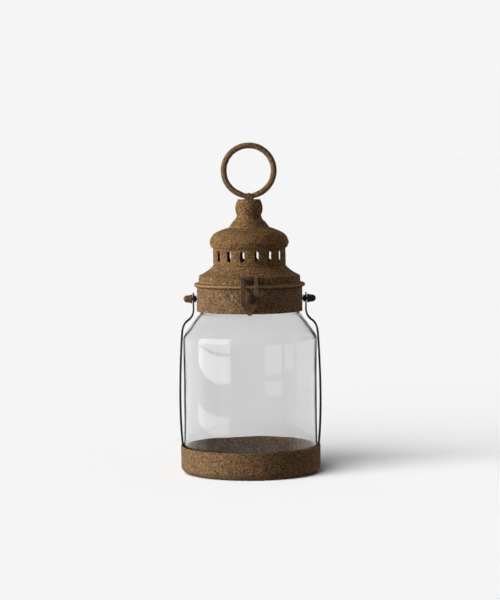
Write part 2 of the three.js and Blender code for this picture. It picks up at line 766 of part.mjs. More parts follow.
function haspPlate() {
  const midY = haspPinY - haspBarrelR + haspThick / 2;
  const lowZ = haspPinZ - haspLength;
  const bendZ = knobZ - haspKnobR;
  const side = [
    new THREE.Vector2(midY, haspPinZ),
    new THREE.Vector2(midY, bendZ),
    new THREE.Vector2(midY + 0.5 * haspSetback, bendZ - 3),
    new THREE.Vector2(midY + haspSetback, lowZ + 4.6),
    new THREE.Vector2(midY + 0.8 * haspSetback, lowZ + 2.2),
    new THREE.Vector2(midY + 0.1 * haspSetback, lowZ),
  ];
  const wide = haspWidth / 2;
  const tip = haspTipWidth / 2;
  const front = shapeOf([
    [-wide, haspPinZ + haspBarrelR],
    [-wide, bendZ],
    [-tip, lowZ + 2],
    [-tip + 1.6, lowZ],
    [tip - 1.6, lowZ],
    [tip, lowZ + 2],
    [wide, bendZ],
    [wide, haspPinZ + haspBarrelR],
  ]);
  const strip = alongX(stripShape(side, haspThick), haspWidth).intersect(alongY(front, 4 * collarR));
  const barrel = barX(haspBarrelR, -wide, wide, haspPinY, haspPinZ);
  const half = haspWindowWidth / 2;
  const window = block(-half, half, -2 * collarR, 0, haspPinZ - haspWindowDrop, 2 * lidZ);
  const rivetHole = barY(haspRivetR + airGap, -2 * collarR, 0, 0, knobZ, 8);
  return piece("hasp_plate", cut(join(strip, barrel), haspBore(), window, rivetHole), rustyIron());
}

// Knob: a domed button riveted through the plate
function haspKnob() {
  const rim = haspKnobHeight / 3;
  const shank = haspThick + 2 * airGap;
  const profile = [
    [0, -shank - 0.6],
    [haspRivetR + 0.6, -shank - 0.6],
    [haspRivetR + 0.6, -shank],
    [haspRivetR, -shank],
    [haspRivetR, 0],
    [haspKnobR, 0],
    [haspKnobR, rim],
    [0.86 * haspKnobR, 0.62 * haspKnobHeight],
    [0.5 * haspKnobR, 0.93 * haspKnobHeight],
    [0, haspKnobHeight],
  ];
  const mesh = piece("hasp_knob", revolve(profile, 20), darkIron());
  mesh.position.set(0, haspPinY - haspBarrelR - airGap, knobZ);
  mesh.rotation.x = Math.PI / 2;
  return mesh;
}

// Catch: a low stud on the collar that the hasp is pressed over
function catchStud() {
  const reach = sheet + 2 * airGap;
  const profile = [
    [0, -reach - headThick / 2],
    [rivetHeadR - 0.4, -reach - headThick / 2],
    [rivetHeadR - 0.4, -reach],
    [rivetR, -reach],
    [rivetR, 0],
    [catchR, 0],
    [0.8 * catchR, 0.6 * catchHeight],
    [0.4 * catchR, 0.95 * catchHeight],
    [0, catchHeight],
  ];
  const mesh = piece("catch_stud", revolve(profile, 12), darkIron());
  mesh.position.set(0, -collarR - airGap, knobZ);
  mesh.rotation.x = Math.PI / 2;
  return mesh;
}

// The lantern, as the four groups that move against each other
const lantern = new THREE.Group();
const base = new THREE.Group();
const lid = new THREE.Group();
const hasp = new THREE.Group();
const ring = new THREE.Group();
lantern.add(base);
base.add(lid);
lid.add(hasp, ring);
ring.position.z = ringPivotZ;

base.add(
  baseTray(),
  glassJar(),
  collarBand(),
  strap("strap_left", -1),
  strap("strap_right", 1),
  ...pivotFittings("left", -1),
  ...pivotFittings("right", 1),
  catchStud(),
  hingeLeafLower(),
  hingePin(),
  ...hingeRivets("lower", lowerRivetZ, collarInnerR, collarR + airGap + sheet),
);
const upperWallR = lidWallAt(upperRivetZ);
lid.add(
  lidSkirt(),
  ventDrum(),
  domeCap(),
  finial(),
  ringEye(),
  haspBracket(),
  haspPin(),
  hingeLeafUpper(),
  ...hingeRivets("upper", upperRivetZ, upperWallR - sheet, upperWallR + airGap + sheet),
);
hasp.add(haspPlate(), haspKnob());
ring.add(carryRing());

export default lantern;
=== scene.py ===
import math

import bmesh
import bpy
from bpy.props import FloatProperty, FloatVectorProperty, IntProperty, PointerProperty
from mathutils import Matrix, Vector, noise


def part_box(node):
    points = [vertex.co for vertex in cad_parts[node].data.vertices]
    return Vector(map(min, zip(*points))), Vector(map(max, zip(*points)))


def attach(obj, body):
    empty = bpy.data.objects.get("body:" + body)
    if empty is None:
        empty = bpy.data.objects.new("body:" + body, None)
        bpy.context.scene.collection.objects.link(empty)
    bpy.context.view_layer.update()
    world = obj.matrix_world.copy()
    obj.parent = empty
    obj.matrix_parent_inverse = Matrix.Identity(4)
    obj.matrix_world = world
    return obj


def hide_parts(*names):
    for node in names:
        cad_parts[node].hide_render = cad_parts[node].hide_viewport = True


bl_info = {
    "name": "Jar lantern",
    "version": (1, 0, 0),
    "blender": (4, 5, 0),
    "location": "View3D > Sidebar > Lantern",
    "description": "Builds the looks of a rusted iron and glass jar lantern around its packed solids",
    "category": "Object",
}

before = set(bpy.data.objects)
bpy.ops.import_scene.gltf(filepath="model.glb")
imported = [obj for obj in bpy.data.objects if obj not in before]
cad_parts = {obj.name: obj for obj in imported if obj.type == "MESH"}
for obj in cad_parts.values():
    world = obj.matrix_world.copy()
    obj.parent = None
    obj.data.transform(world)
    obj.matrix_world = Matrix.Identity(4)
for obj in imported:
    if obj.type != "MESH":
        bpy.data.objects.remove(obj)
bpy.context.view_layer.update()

MM = 0.001  # the profiles below are in millimetres, and Blender's meshes in metres
AIR = 0.3  # left between two pieces that touch
CARD_IN_GLASS = 0.36  # how much of the card before the lantern its glass mirrors
NO_LENGTH = 1e-6  # what is shorter counts as nothing
PIN_SIDES = 28  # sides of the pins and rivets
MIX_A, MIX_B, MIX_RESULT = 6, 7, 2  # the sockets of a Mix node that hold its colours


# ---- Numbers and colours


def linear(code):
    """Turns an sRGB hex colour into the linear red, green, blue and alpha that shaders take."""
    parts = [int(code[i:i + 2], 16) / 255 for i in (1, 3, 5)]
    return (*[c / 12.92 if c <= 0.04045 else ((c + 0.055) / 1.055) ** 2.4 for c in parts], 1.0)


def per_mm(width):
    """The scale that makes a pattern's features this many millimetres wide."""
    return 1 / (width * MM)


def length(name, description, default):
    """A length property whose default is given in millimetres."""
    return FloatProperty(
        name=name, description=description, default=default * MM, unit="LENGTH", precision=5
    )


def colour(name, description, code):
    """A colour property whose default is an sRGB hex colour."""
    return FloatVectorProperty(
        name=name, description=description, default=linear(code), size=4, subtype="COLOR", min=0, max=1
    )


# ---- What a user would change


class LanternIron(bpy.types.PropertyGroup):
    """Sizes shared by the iron pieces."""

    sheet: length("Sheet", "Thickness of the tray, collar and lid", 1.2)
    worn_edge: length("Worn edge", "How far the edges of the sheet are worn round", 0.3)
    pit_depth: length("Pit depth", "How deep rust has eaten into the surface", 0.34)
    pit_width: length("Pit width", "How wide one rust pit is", 2.6)
    dent_depth: length("Dent depth", "How far the thin sheet is dented", 0.3)
    dent_width: length("Dent width", "How wide one dent is", 24)
    facing: length("Mesh step", "Longest edge of the mesh on pitted faces", 1.35)
    sides: IntProperty(name="Sides", description="Sides of the widest round pieces", default=320, min=24)
    tray_corner: length("Tray corner", "Rounding between the tray's wall and floor", 8)
    collar_lip: length("Collar lip", "Rounding of the collar's lower edge", 1.2)
    throat: length("Throat", "Radius of the opening in the collar's flange", 44)


class LanternJar(bpy.types.PropertyGroup):
    """Sizes of the glass jar."""

    wall: length("Wall", "Thickness of the glass", 2.5)
    floor: length("Floor", "Thickness of the glass at the foot", 5)
    foot: length("Foot rounding", "Rounding between the side and the foot", 9)
    punt: length("Punt", "How far the foot is hollowed", 3)
    kick: length("Kick", "How far the floor inside rises to its middle", 4.5)
    punt_radius: length("Punt radius", "Radius of the hollow in the foot", 44)
    body: length("Body", "Height from the foot to the shoulder", 136)
    shoulder: length("Shoulder", "Height of the sloping shoulder", 24)
    neck: length("Neck", "Radius of the neck", 49.5)
    rim: length("Rim", "Height of the thicker rim", 5)
    wave: length("Wave", "How far the blown wall waves in and out", 0.16)
    wave_length: length("Wave length", "Distance between two waves in the glass", 44)
    sides: IntProperty(name="Sides", description="Sides of the round jar", default=224, min=24)
    density: FloatProperty(
        name="Density", description="How fast light dims on its way through the glass", default=30.0, min=0
    )


class LanternLid(bpy.types.PropertyGroup):
    """Sizes of the lid."""

    bead: length("Bead", "Radius of the rolled bead", 2.1)
    wall: length("Wall", "Height of the skirt's upright wall", 11.5)
    taper: length("Taper", "How much narrower the wall is at its top", 1)
    cove: length("Cove", "Height of the hollow slope", 10.8)
    vents: IntProperty(name="Vents", description="Slots round the drum", default=16, min=3)
    vent_width: length("Vent width", "Width of a slot", 4)
    vent_height: length("Vent height", "Height of a slot", 10.4)
    vent_foot: length("Vent foot", "Height of the slots over the drum's foot", 3.5)
    vent_drift: FloatProperty(
        name="Vent drift",
        description="How far the rear slots have crept round",
        default=math.radians(4),
        subtype="ANGLE",
    )
    ridge: length("Ridge", "Height of the dome's widest line", 6)
    crown: length("Crown", "Radius of the dome's flat top", 20.4)
    wire: length("Ring wire", "Radius of the carry ring's wire in its eye", 2.6)
    wire_wear: length("Ring wear", "How much thinner the wire's radius is in its eye", 0.42)


class LanternFittings(bpy.types.PropertyGroup):
    """Sizes of the straps and the small fittings."""

    strap: length("Strap", "Thickness of the side straps below the shoulder", 2)
    strap_tip: length("Strap tip", "Thickness of the side straps at the spacers", 1.5)
    strap_width: length("Strap width", "Width of the side straps", 9)
    strap_bow: length("Strap bow", "How far a strap bows away from its foot", 2.35)
    screw: length("Screw", "Radius of the pivot screws", 1.6)
    screw_head: length("Screw head", "Radius of the pivot screws' heads", 3.2)
    spacer_waist: length("Spacer waist", "Radius of the spacers' waist", 2.8)
    nut_body: length("Nut body", "Radius of the cap nuts' narrower end", 3.75)
    nut_shoulder: length("Nut shoulder", "Width of the cap nuts' wider end", 2.6)
    rivet: length("Rivet", "Radius of the rivets", 1.2)
    rivet_head: length("Rivet head", "Radius of the rivets' heads", 2.4)


class LanternColours(bpy.types.PropertyGroup):
    """Colours of the finishes."""

    rust: colour("Rust", "Old rust, most of the surface", "#977551")
    rust_pale: colour("Pale rust", "Dry rust on the high grains", "#c6a783")
    rust_lid: colour("Lid rust", "Old rust on the lid, more orange than on the tray", "#997447")
    rust_lid_pale: colour("Pale lid rust", "Dry rust on the lid's high grains", "#c8a573")
    rust_fresh: colour("Fresh rust", "Orange rust in patches", "#9a6b3d")
    rust_pit: colour("Pits", "Nearly black rust in the pits", "#4a311d")
    # On the hasp plate this darker rust is also painted shade, which sets the plate off from the collar.
    handled_rust_and_painted_shade: colour("Handled rust", "Rust on the small fittings, darker from handling", "#755a3e")
    browned: colour("Browned iron", "Forged iron under a thin brown skin", "#21170f")
    browned_pale: colour("Rubbed iron", "Browned iron where hands have rubbed it", "#4f3c2a")
    # On the hasp's bracket and the right cap nut this red-brown is painted shade.
    red_brown_stain_and_painted_shade: colour("Stained iron", "Red-brown stain on browned iron", "#4c2a20")
    browned_pit: colour("Scale", "Dark scale in the pits of browned iron", "#1c130d")
    glass: colour("Glass", "What clear glass lets through", "#f0f0f0")
    glass_depth: colour("Thick glass", "What a long way through the glass lets through", "#c0c3c2")
    glass_lit: colour("Lit glass", "What the glass lets through of the lamps' light", "#e9e9e9")
    paper: colour("Paper", "The pale paper that it stands on", "#f5f5f5")
    paper_bounce: colour("Paper bounce", "How much light the paper throws back up", "#686868")


class LanternStage(bpy.types.PropertyGroup):
    """The camera's place and the light's level."""

    distance: length("Camera distance", "From the lantern's axis to the camera", 2300)
    camera_side: length("Camera side", "How far right of the lantern's axis the camera stands", 1.5)
    camera_height: length("Camera height", "Height of the camera over the floor", 324.5)
    pitch: FloatProperty(
        name="Pitch", description="How far the camera looks down", default=math.radians(3.77), subtype="ANGLE"
    )
    roll: FloatProperty(
        name="Roll", description="How far the camera is rolled", default=math.radians(0.45), subtype="ANGLE"
    )
    lens: FloatProperty(name="Lens", description="Focal length", default=138.3, unit="CAMERA")
    key: FloatProperty(name="Key", description="Strength of the soft light from the left", default=3.3)
    fill: FloatProperty(name="Fill", description="Strength of the low light on the far side", default=0.9)
    floor_light: FloatProperty(
        name="Floor light", description="Share of the floor's light that its own lamp gives", default=0.85
    )
    gathered: FloatProperty(
        name="Gathered light", description="Power of the light that the jar bends to its tray", default=0.048
    )
    window: FloatProperty(
        name="Windows", description="Brightness of the windows that the glass mirrors", default=6.0
    )


def settings(group):
    """A settings group of the scene, such as the iron's."""
    return getattr(bpy.context.scene, "lantern_" + group)


def size(group, name):
    """A length from the settings, in millimetres."""
    return getattr(settings(group), name) / MM


def lengths(group, *names):
    """Several lengths from one group of settings, in millimetres."""
    return [size(group, name) for name in names]


def low(node):
    """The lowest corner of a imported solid, in millimetres."""
    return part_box(node)[0] / MM


def high(node):
    """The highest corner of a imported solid, in millimetres."""
    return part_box(node)[1] / MM


def clamped(value):
    """A number, held between 0 and 1."""
    return min(max(value, 0), 1)


# ---- Finishes


def add_node(tree, kind, inputs=None, **options):
    """Adds a node with its options. An input is a value, or an output that is linked to it."""
    made = tree.nodes.new(kind)
    for name, value in options.items():
        setattr(made, name, value)
    for name, value in (inputs or {}).items():
        if isinstance(value, bpy.types.NodeSocket):
            tree.links.new(value, made.inputs[name])
        else:
            made.inputs[name].default_value = value
    return made


def new_tree(name):
    """A new material and its empty node tree."""
    material = bpy.data.materials.new(name)
    material.use_nodes = True
    material.node_tree.nodes.clear()
    return material, material.node_tree


def rust_patterns(tree, place):
    """The patterns that rust is drawn with, by name. Their widths are in millimetres."""
    # Real rust grains are under 0.5 mm, too fine for the picture, so they are drawn some 2 mm apart.
    patterns = {}
    for pattern, width, detail, roughness in (
        ("blotches", 24, 2, 0.5),
        ("streaks", 9, 2, 0.5),
        ("grains", 1.8, 2, 0.6),
        ("specks", 1.5, 1, 0.5),
    ):
        inputs = {"Vector": place, "Scale": per_mm(width), "Detail": detail, "Roughness": roughness}
        patterns[pattern] = add_node(tree, "ShaderNodeTexNoise", inputs).outputs["Fac"]
    cells = {"Vector": place, "Scale": per_mm(2.2), "Randomness": 1.0}
    patterns["holes"] = add_node(tree, "ShaderNodeTexVoronoi", cells).outputs["Distance"]
    patterns["edges"] = add_node(tree, "ShaderNodeNewGeometry").outputs["Pointiness"]
    return patterns


def weathered_iron(name, base, pale, fresh, pit, rough, relief, rubbed=None):
    """Iron with a skin of rust: blotches of fresh rust, pale grains, dark pits and rubbed edges, and, at a
    given height, a pale band painted as a highlight.
    """
    base, pale, fresh, pit = (getattr(settings("colours"), shade) for shade in (base, pale, fresh, pit))
    material, tree = new_tree(name)
    place = add_node(tree, "ShaderNodeTexCoord").outputs["Object"]
    patterns = rust_patterns(tree, place)

    # Each layer: its pattern, where it starts and is full, how much of it shows at most, its colour.
    layers = [
        ("blotches", 0.42, 0.62, 0.6, fresh),
        ("grains", 0.5, 0.66, 0.8, pale),
        ("streaks", 0.5, 0.36, 0.25, pit),
        ("specks", 0.48, 0.36, 0.9, pit),
        ("holes", 0.26, 0.1, 0.55, pit),
        ("edges", 0.52, 0.58, 0.65, pale),
    ]
    # The pale band at the rubbed height is a painted highlight along the bead's upper side.
    if rubbed is not None:
        level = add_node(tree, "ShaderNodeSeparateXYZ", {0: place}).outputs["Z"]
        above = add_node(tree, "ShaderNodeMath", {0: level, 1: rubbed * MM}, operation="SUBTRACT")
        away = add_node(tree, "ShaderNodeMath", {0: above.outputs[0]}, operation="ABSOLUTE")
        patterns["away"] = away.outputs[0]
        layers.append(("away", 0.9 * MM, 0.2 * MM, 0.75, pale))
    shade = base
    for pattern, start, end, most, tint in layers:
        inputs = {"Value": patterns[pattern], "From Min": start, "From Max": end, "To Max": most}
        share = add_node(tree, "ShaderNodeMapRange", inputs).outputs["Result"]
        inputs = {"Factor": share, MIX_A: shade, MIX_B: tint}
        shade = add_node(tree, "ShaderNodeMix", inputs, data_type="RGBA").outputs[MIX_RESULT]

    inputs = {0: patterns["grains"], 1: patterns["specks"]}
    lumps = add_node(tree, "ShaderNodeMath", inputs, operation="ADD").outputs[0]
    inputs = {"Value": patterns["holes"], "From Min": 0.3, "From Max": 0.05, "To Max": -0.5}
    hollows = add_node(tree, "ShaderNodeMapRange", inputs).outputs["Result"]
    height = add_node(tree, "ShaderNodeMath", {0: hollows, 1: lumps}, operation="ADD").outputs[0]
    bump = add_node(tree, "ShaderNodeBump", {"Height": height, "Strength": 1.0, "Distance": relief * MM})
    inputs = {
        "Value": patterns["grains"],
        "From Min": 0.35,
        "From Max": 0.65,
        "To Min": rough + 0.08,
        "To Max": rough - 0.08,
    }
    dullness = add_node(tree, "ShaderNodeMapRange", inputs).outputs["Result"]
    shader = add_node(
        tree,
        "ShaderNodeBsdfPrincipled",
        {
            "Base Color": shade,
            "Roughness": dullness,
            "Metallic": 0.0,
            "Specular IOR Level": 0.2,
            "Normal": bump.outputs[0],
        },
    )
    add_node(tree, "ShaderNodeOutputMaterial", {"Surface": shader.outputs[0]})
    return material


def rusted_sheet():
    """Sheet iron, spun and left to rust: a dry, grainy brown with dark pits and pale rubbed edges."""
    return weathered_iron(
        "sheet_iron_spun_and_rusted",
        "rust", "rust_pale", "rust_fresh", "rust_pit", rough=0.86, relief=0.9,
    )


def lid_sheet():
    """The lid's sheet iron, spun and rusted like the tray's: the same dry grain, a more orange brown."""
    return weathered_iron(
        "lid_iron_spun_and_rusted",
        "rust_lid", "rust_lid_pale", "rust_fresh", "rust_pit", rough=0.86, relief=0.9,
    )


def bead_highlight_sheet():
    """The lid's spun and rusted sheet for the skirt, with a pale band along its bead painted as a highlight.
    """
    return weathered_iron(
        "lid_iron_spun_rusted_with_painted_highlight",
        "rust_lid", "rust_pale", "rust_fresh", "rust_pit", rough=0.86, relief=0.9,
        # The painted highlight runs a little above the middle of the bead.
        rubbed=low("lid_skirt").z + 1.2 * size("lid", "bead"),
    )


def rusted_fittings():
    """Small folded and cast fittings, rusted alike: darker, because handling has filled the grain. On the
    hasp plate the darker tone is also painted shade, which sets the plate off from the collar.
    """
    return weathered_iron(
        "fitting_iron_cast_and_rusted",
        "handled_rust_and_painted_shade", "rust", "rust_fresh", "rust_pit", rough=0.78, relief=0.5,
    )


def browned_iron():
    """Iron, forged and browned: darker and closer-grained, with a low sheen where it is rubbed."""
    return weathered_iron(
        "iron_forged_and_browned",
        "browned", "browned_pale", "red_brown_stain_and_painted_shade", "browned_pit", rough=0.66, relief=0.5,
    )


def handled_iron_and_painted_shade():
    """A cast knob, handled until it is smooth: a dark red-brown that shines a little to one side. On the
    hasp's bracket and the right cap nut this dark red-brown is painted shade.
    """
    return weathered_iron(
        "knob_iron_handled_and_painted_shade",
        "red_brown_stain_and_painted_shade", "handled_rust_and_painted_shade", "red_brown_stain_and_painted_shade", "browned_pit", rough=0.45, relief=0.25,
    )


def blown_glass():
    """Soda glass, blown in a mould: clear and smooth, darker where the eye looks along the wall."""
    shades = settings("colours")
    material, tree = new_tree("soda_glass_blown_in_a_mould")
    glass = add_node(
        tree,
        "ShaderNodeBsdfPrincipled",
        {"Base Color": shades.glass, "Roughness": 0.0, "IOR": 1.5, "Transmission Weight": 1.0},
    )
    # Lamps shine through the jar: without this its shadow would be as dark as iron's.
    path = add_node(tree, "ShaderNodeLightPath").outputs
    lit = add_node(
        tree, "ShaderNodeMath", {0: path["Is Shadow Ray"], 1: path["Is Diffuse Ray"]}, operation="MAXIMUM"
    )
    open_air = add_node(tree, "ShaderNodeBsdfTransparent", {"Color": shades.glass_lit})
    either = add_node(
        tree, "ShaderNodeMixShader", {0: lit.outputs[0], 1: glass.outputs[0], 2: open_air.outputs[0]}
    )
    inputs = {"Color": shades.glass_depth, "Density": settings("jar").density}
    depth = add_node(tree, "ShaderNodeVolumeAbsorption", inputs)
    add_node(
        tree, "ShaderNodeOutputMaterial", {"Surface": either.outputs[0], "Volume": depth.outputs[0]}
    )
    return material


FINISHES = {"rusted_iron": rusted_sheet, "dark_iron": browned_iron, "clear_glass": blown_glass}
made_finishes = {}


def material_of(finish):
    """The material that a finish function makes, made only once."""
    if finish not in made_finishes:
        made_finishes[finish] = finish()
    return made_finishes[finish]


# ---- Profiles
#
# A profile is a list of (radius, height) in millimetres. A third number is the rounding of that corner.


def arc(cx, cy, r, start, end, steps):
    """Points on an arc, both ends included, in degrees."""
    turns = [math.radians(start + (end - start) * i / steps) for i in range(steps + 1)]
    return [(cx + r * math.cos(a), cy + r * math.sin(a)) for a in turns]


def bezier(points, steps):
    """Points on a curve that its handles pull, both ends included."""
    curve = []
    for i in range(steps + 1):
        t, row = i / steps, [Vector(p) for p in points]
        while len(row) > 1:
            row = [a.lerp(b, t) for a, b in zip(row, row[1:])]
        curve.append(tuple(row[0]))
    return curve


def worn(points, radius, steps=3):
    """Rounds the corners of a profile. A third number in a point is its own radius."""
    too_flat = math.radians(80)
    most_of_a_side = 0.45
    result = []
    for i, point in enumerate(points):
        at = Vector(point[:2])
        r = point[2] if len(point) > 2 else radius
        if i in (0, len(points) - 1):
            result.append(tuple(at))
            continue
        before, after = Vector(points[i - 1][:2]) - at, Vector(points[i + 1][:2]) - at
        if before.length < NO_LENGTH or after.length < NO_LENGTH:
            continue
        half = before.angle(after) / 2
        if half > too_flat:
            result.append(tuple(at))
            continue
        reach = min(r / math.tan(half), most_of_a_side * before.length, most_of_a_side * after.length)
        result += bezier([at + before.normalized() * reach, at, at + after.normalized() * reach], steps)
    return result


def filled(points, step):
    """Adds points to a profile so that no stretch is longer than step, six times that by the axis."""
    result = [points[0]]
    for a, b in zip(points, points[1:]):
        near_axis = min(a[0], b[0]) < NO_LENGTH
        parts = max(1, math.ceil((Vector(b) - Vector(a)).length / (6 * step if near_axis else step)))
        result += [tuple(Vector(a).lerp(Vector(b), i / parts)) for i in range(1, parts + 1)]
    return result


def eased(points, rounds=2):
    """Cuts a profile's corners again and again, so that it becomes a smooth curve."""
    for _ in range(rounds):
        cut = [points[0]]
        for a, b in zip(points, points[1:]):
            a, b = Vector(a[:2]), Vector(b[:2])
            cut += [tuple(a.lerp(b, 0.25)), tuple(a.lerp(b, 0.75))]
        points = cut + [points[-1]]
    return points


def spread(start, end, count):
    """Evenly spaced numbers, both ends included."""
    return [start + (end - start) * i / (count - 1) for i in range(count)]


# ---- Meshes


def round_point(radius, turn, z):
    """A point, in metres, from its radius and height in millimetres and its turn from the front."""
    return (radius * MM * math.sin(turn), -radius * MM * math.cos(turn), z * MM)


def skin(bm, rows):
    """Faces between rows of points. Each row closes on itself."""
    for a, b in zip(rows, rows[1:]):
        for i in range(len(a)):
            j = (i + 1) % len(a)
            bm.faces.new((a[i], a[j], b[j], b[i]))


def turned(profile, sides, ring=False):
    """A profile of (radius, height) turned about Z. A ring's profile closes on itself."""
    bm = bmesh.new()
    rows = []
    for r, z in profile:
        count = 1 if r < NO_LENGTH else sides
        turns = [2 * math.pi * i / sides for i in range(count)]
        rows.append([bm.verts.new(round_point(r, turn, z)) for turn in turns])
    pairs = list(zip(rows, rows[1:]))
    if ring:
        pairs.append((rows[-1], rows[0]))
    for a, b in pairs:
        for i in range(sides):
            j = (i + 1) % sides
            corners = [a[i % len(a)], a[j % len(a)], b[j % len(b)], b[i % len(b)]]
            corners = list(dict.fromkeys(corners))
            if len(corners) > 2:
                bm.faces.new(corners)
    return bm


def turned_towards(profile, sides, foot, direction, ring=False):
    """A turned form whose axis leaves its foot, in millimetres, in the given direction."""
    bm = turned(profile, sides, ring)
    turn = Vector((0, 0, 1)).rotation_difference(Vector(direction)).to_matrix().to_4x4()
    bmesh.ops.transform(bm, matrix=Matrix.Translation(Vector(foot) * MM) @ turn, verts=bm.verts)
    return bm


def sunk(bm, depth_at):
    """Sinks each point of a surface by the depth, in metres, that a function finds for its place."""
    bmesh.ops.recalc_face_normals(bm, faces=bm.faces)
    bm.normal_update()
    moved = [vertex.co - vertex.normal * depth_at(vertex.co) for vertex in bm.verts]
    for vertex, place in zip(bm.verts, moved):
        vertex.co = place
    return bm


def pitted(bm, seed, depth=1.0, dents=1.0):
    """Sinks rust pits and shallow dents into a surface. Nothing moves outwards."""
    iron = settings("iron")
    shift = Vector((seed * 1.7, seed * 0.9, seed * 2.3))
    finer = 0.45  # how wide a fine pit is beside a wide one
    level, wide_share, fine_share = 0.45, 0.75, 0.45

    def depth_at(place):
        """How deep the pits and the dents are at a place."""
        grain = noise.noise(place / iron.pit_width + shift)
        fine = noise.noise(place / (finer * iron.pit_width) - shift)
        dent = noise.noise(place / iron.dent_width + shift)
        pit = clamped(level + wide_share * grain + fine_share * fine)
        return depth * iron.pit_depth * pit + dents * iron.dent_depth * clamped(0.5 + dent)

    return sunk(bm, depth_at)


def softened(node):
    """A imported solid's mesh with its edges worn round."""
    bm = bmesh.new()
    bm.from_mesh(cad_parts[node].data)
    bmesh.ops.remove_doubles(bm, verts=bm.verts, dist=NO_LENGTH)
    bmesh.ops.dissolve_limit(bm, angle_limit=math.radians(1), verts=bm.verts, edges=bm.edges)
    sharp = math.radians(25)
    edges = [e for e in bm.edges if e.is_manifold and e.calc_face_angle() > sharp]
    wear = settings("iron").worn_edge
    bmesh.ops.bevel(
        bm, geom=edges, offset=wear, segments=2, profile=0.5, affect="EDGES", clamp_overlap=True
    )
    return bm


def remeshed(bm, step, smoothing=3):
    """The same form in even small squares, whose corners come out worn."""
    mesh = bpy.data.meshes.new("rough")
    bm.to_mesh(mesh)
    bm.free()
    rough = bpy.data.objects.new("rough", mesh)
    bpy.context.scene.collection.objects.link(rough)
    modifier = rough.modifiers.new("squares", "REMESH")
    modifier.mode = "VOXEL"
    modifier.voxel_size = step * MM
    graph = bpy.context.evaluated_depsgraph_get()
    squares = bpy.data.meshes.new_from_object(rough.evaluated_get(graph))
    result = bmesh.new()
    result.from_mesh(squares)
    bpy.data.objects.remove(rough)
    bpy.data.meshes.remove(mesh)
    bpy.data.meshes.remove(squares)
    for _ in range(smoothing):
        bmesh.ops.smooth_vert(
            result, verts=result.verts, factor=0.5, use_axis_x=True, use_axis_y=True, use_axis_z=True
        )
    return result


def piece(name, bm, body, slot, nodes, crisp=40, finish=None):
    """A finished piece of the lantern: it rides on a body, takes its slot's finish unless given another, and
    hides its solids.
    """
    bmesh.ops.recalc_face_normals(bm, faces=bm.faces)
    mesh = bpy.data.meshes.new(name)
    bm.to_mesh(mesh)
    bm.free()
    if not mesh.polygons:
        raise RuntimeError(f"{name} came out empty")
    mesh.shade_smooth()
    mesh.set_sharp_from_angle(angle=math.radians(crisp))
    mesh.materials.append(material_of(finish or FINISHES[slot]))
    made = bpy.data.objects.new(name, mesh)
    bpy.context.scene.collection.objects.link(made)
    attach(made, body)
    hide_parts(*nodes)
    return made


# ---- The stage


def place_camera(stage):
    """The camera, level with the carry ring's middle and looking a little down."""
    camera = bpy.data.objects.new("camera", bpy.data.cameras.new("camera"))
    camera.data.lens = stage.lens
    camera.location = (stage.camera_side, -stage.distance, stage.camera_height)
    camera.rotation_euler = (math.radians(90) - stage.pitch, stage.roll, 0)
    bpy.context.scene.collection.objects.link(camera)
    bpy.context.scene.camera = camera


def add_lamp(name, kind, unseen_by):
    """A lamp that the named kinds of ray don't meet."""
    lamp = bpy.data.objects.new(name, bpy.data.lights.new(name, kind))
    for rays in unseen_by:
        setattr(lamp, "visible_" + rays, False)
    bpy.context.scene.collection.objects.link(lamp)
    return lamp


def place_sun(name, strength, side, height, width):
    """A soft distant lamp. Its angles are in degrees: left of the camera, over the floor, and its width."""
    lamp = add_lamp(name, "SUN", ("glossy", "transmission"))
    lamp.data.energy = strength
    lamp.data.angle = math.radians(width)
    lamp.rotation_euler = (math.radians(90 - height), 0, -math.radians(side))
    return lamp


def place_window(name, right, left, foot, height, radiance):
    """A window that only gloss and glass mirror. Its ends are (degrees left of the camera, distance)."""
    ends = []
    for turn, reach in (right, left):
        side, ahead = reach * math.sin(math.radians(turn)), reach * math.cos(math.radians(turn))
        ends.append(Vector((-side, -ahead, foot + height / 2)) * MM)
    middle, along = (ends[0] + ends[1]) / 2, ends[0] - ends[1]
    # A dimmer frame round each pane softens its edges.
    for part, grow, share in (("pane", 0.86, 0.6), ("edge", 1.0, 0.4)):
        lamp = add_lamp(f"{name}_{part}", "AREA", ("diffuse", "camera", "transmission"))
        lamp.data.shape = "RECTANGLE"
        lamp.data.size = grow * along.length
        lamp.data.size_y = grow * height * MM
        lamp.data.energy = share * radiance * math.pi * lamp.data.size * lamp.data.size_y
        lamp.location = middle
        lamp.rotation_euler = (math.radians(90), 0, math.atan2(along.y, along.x))


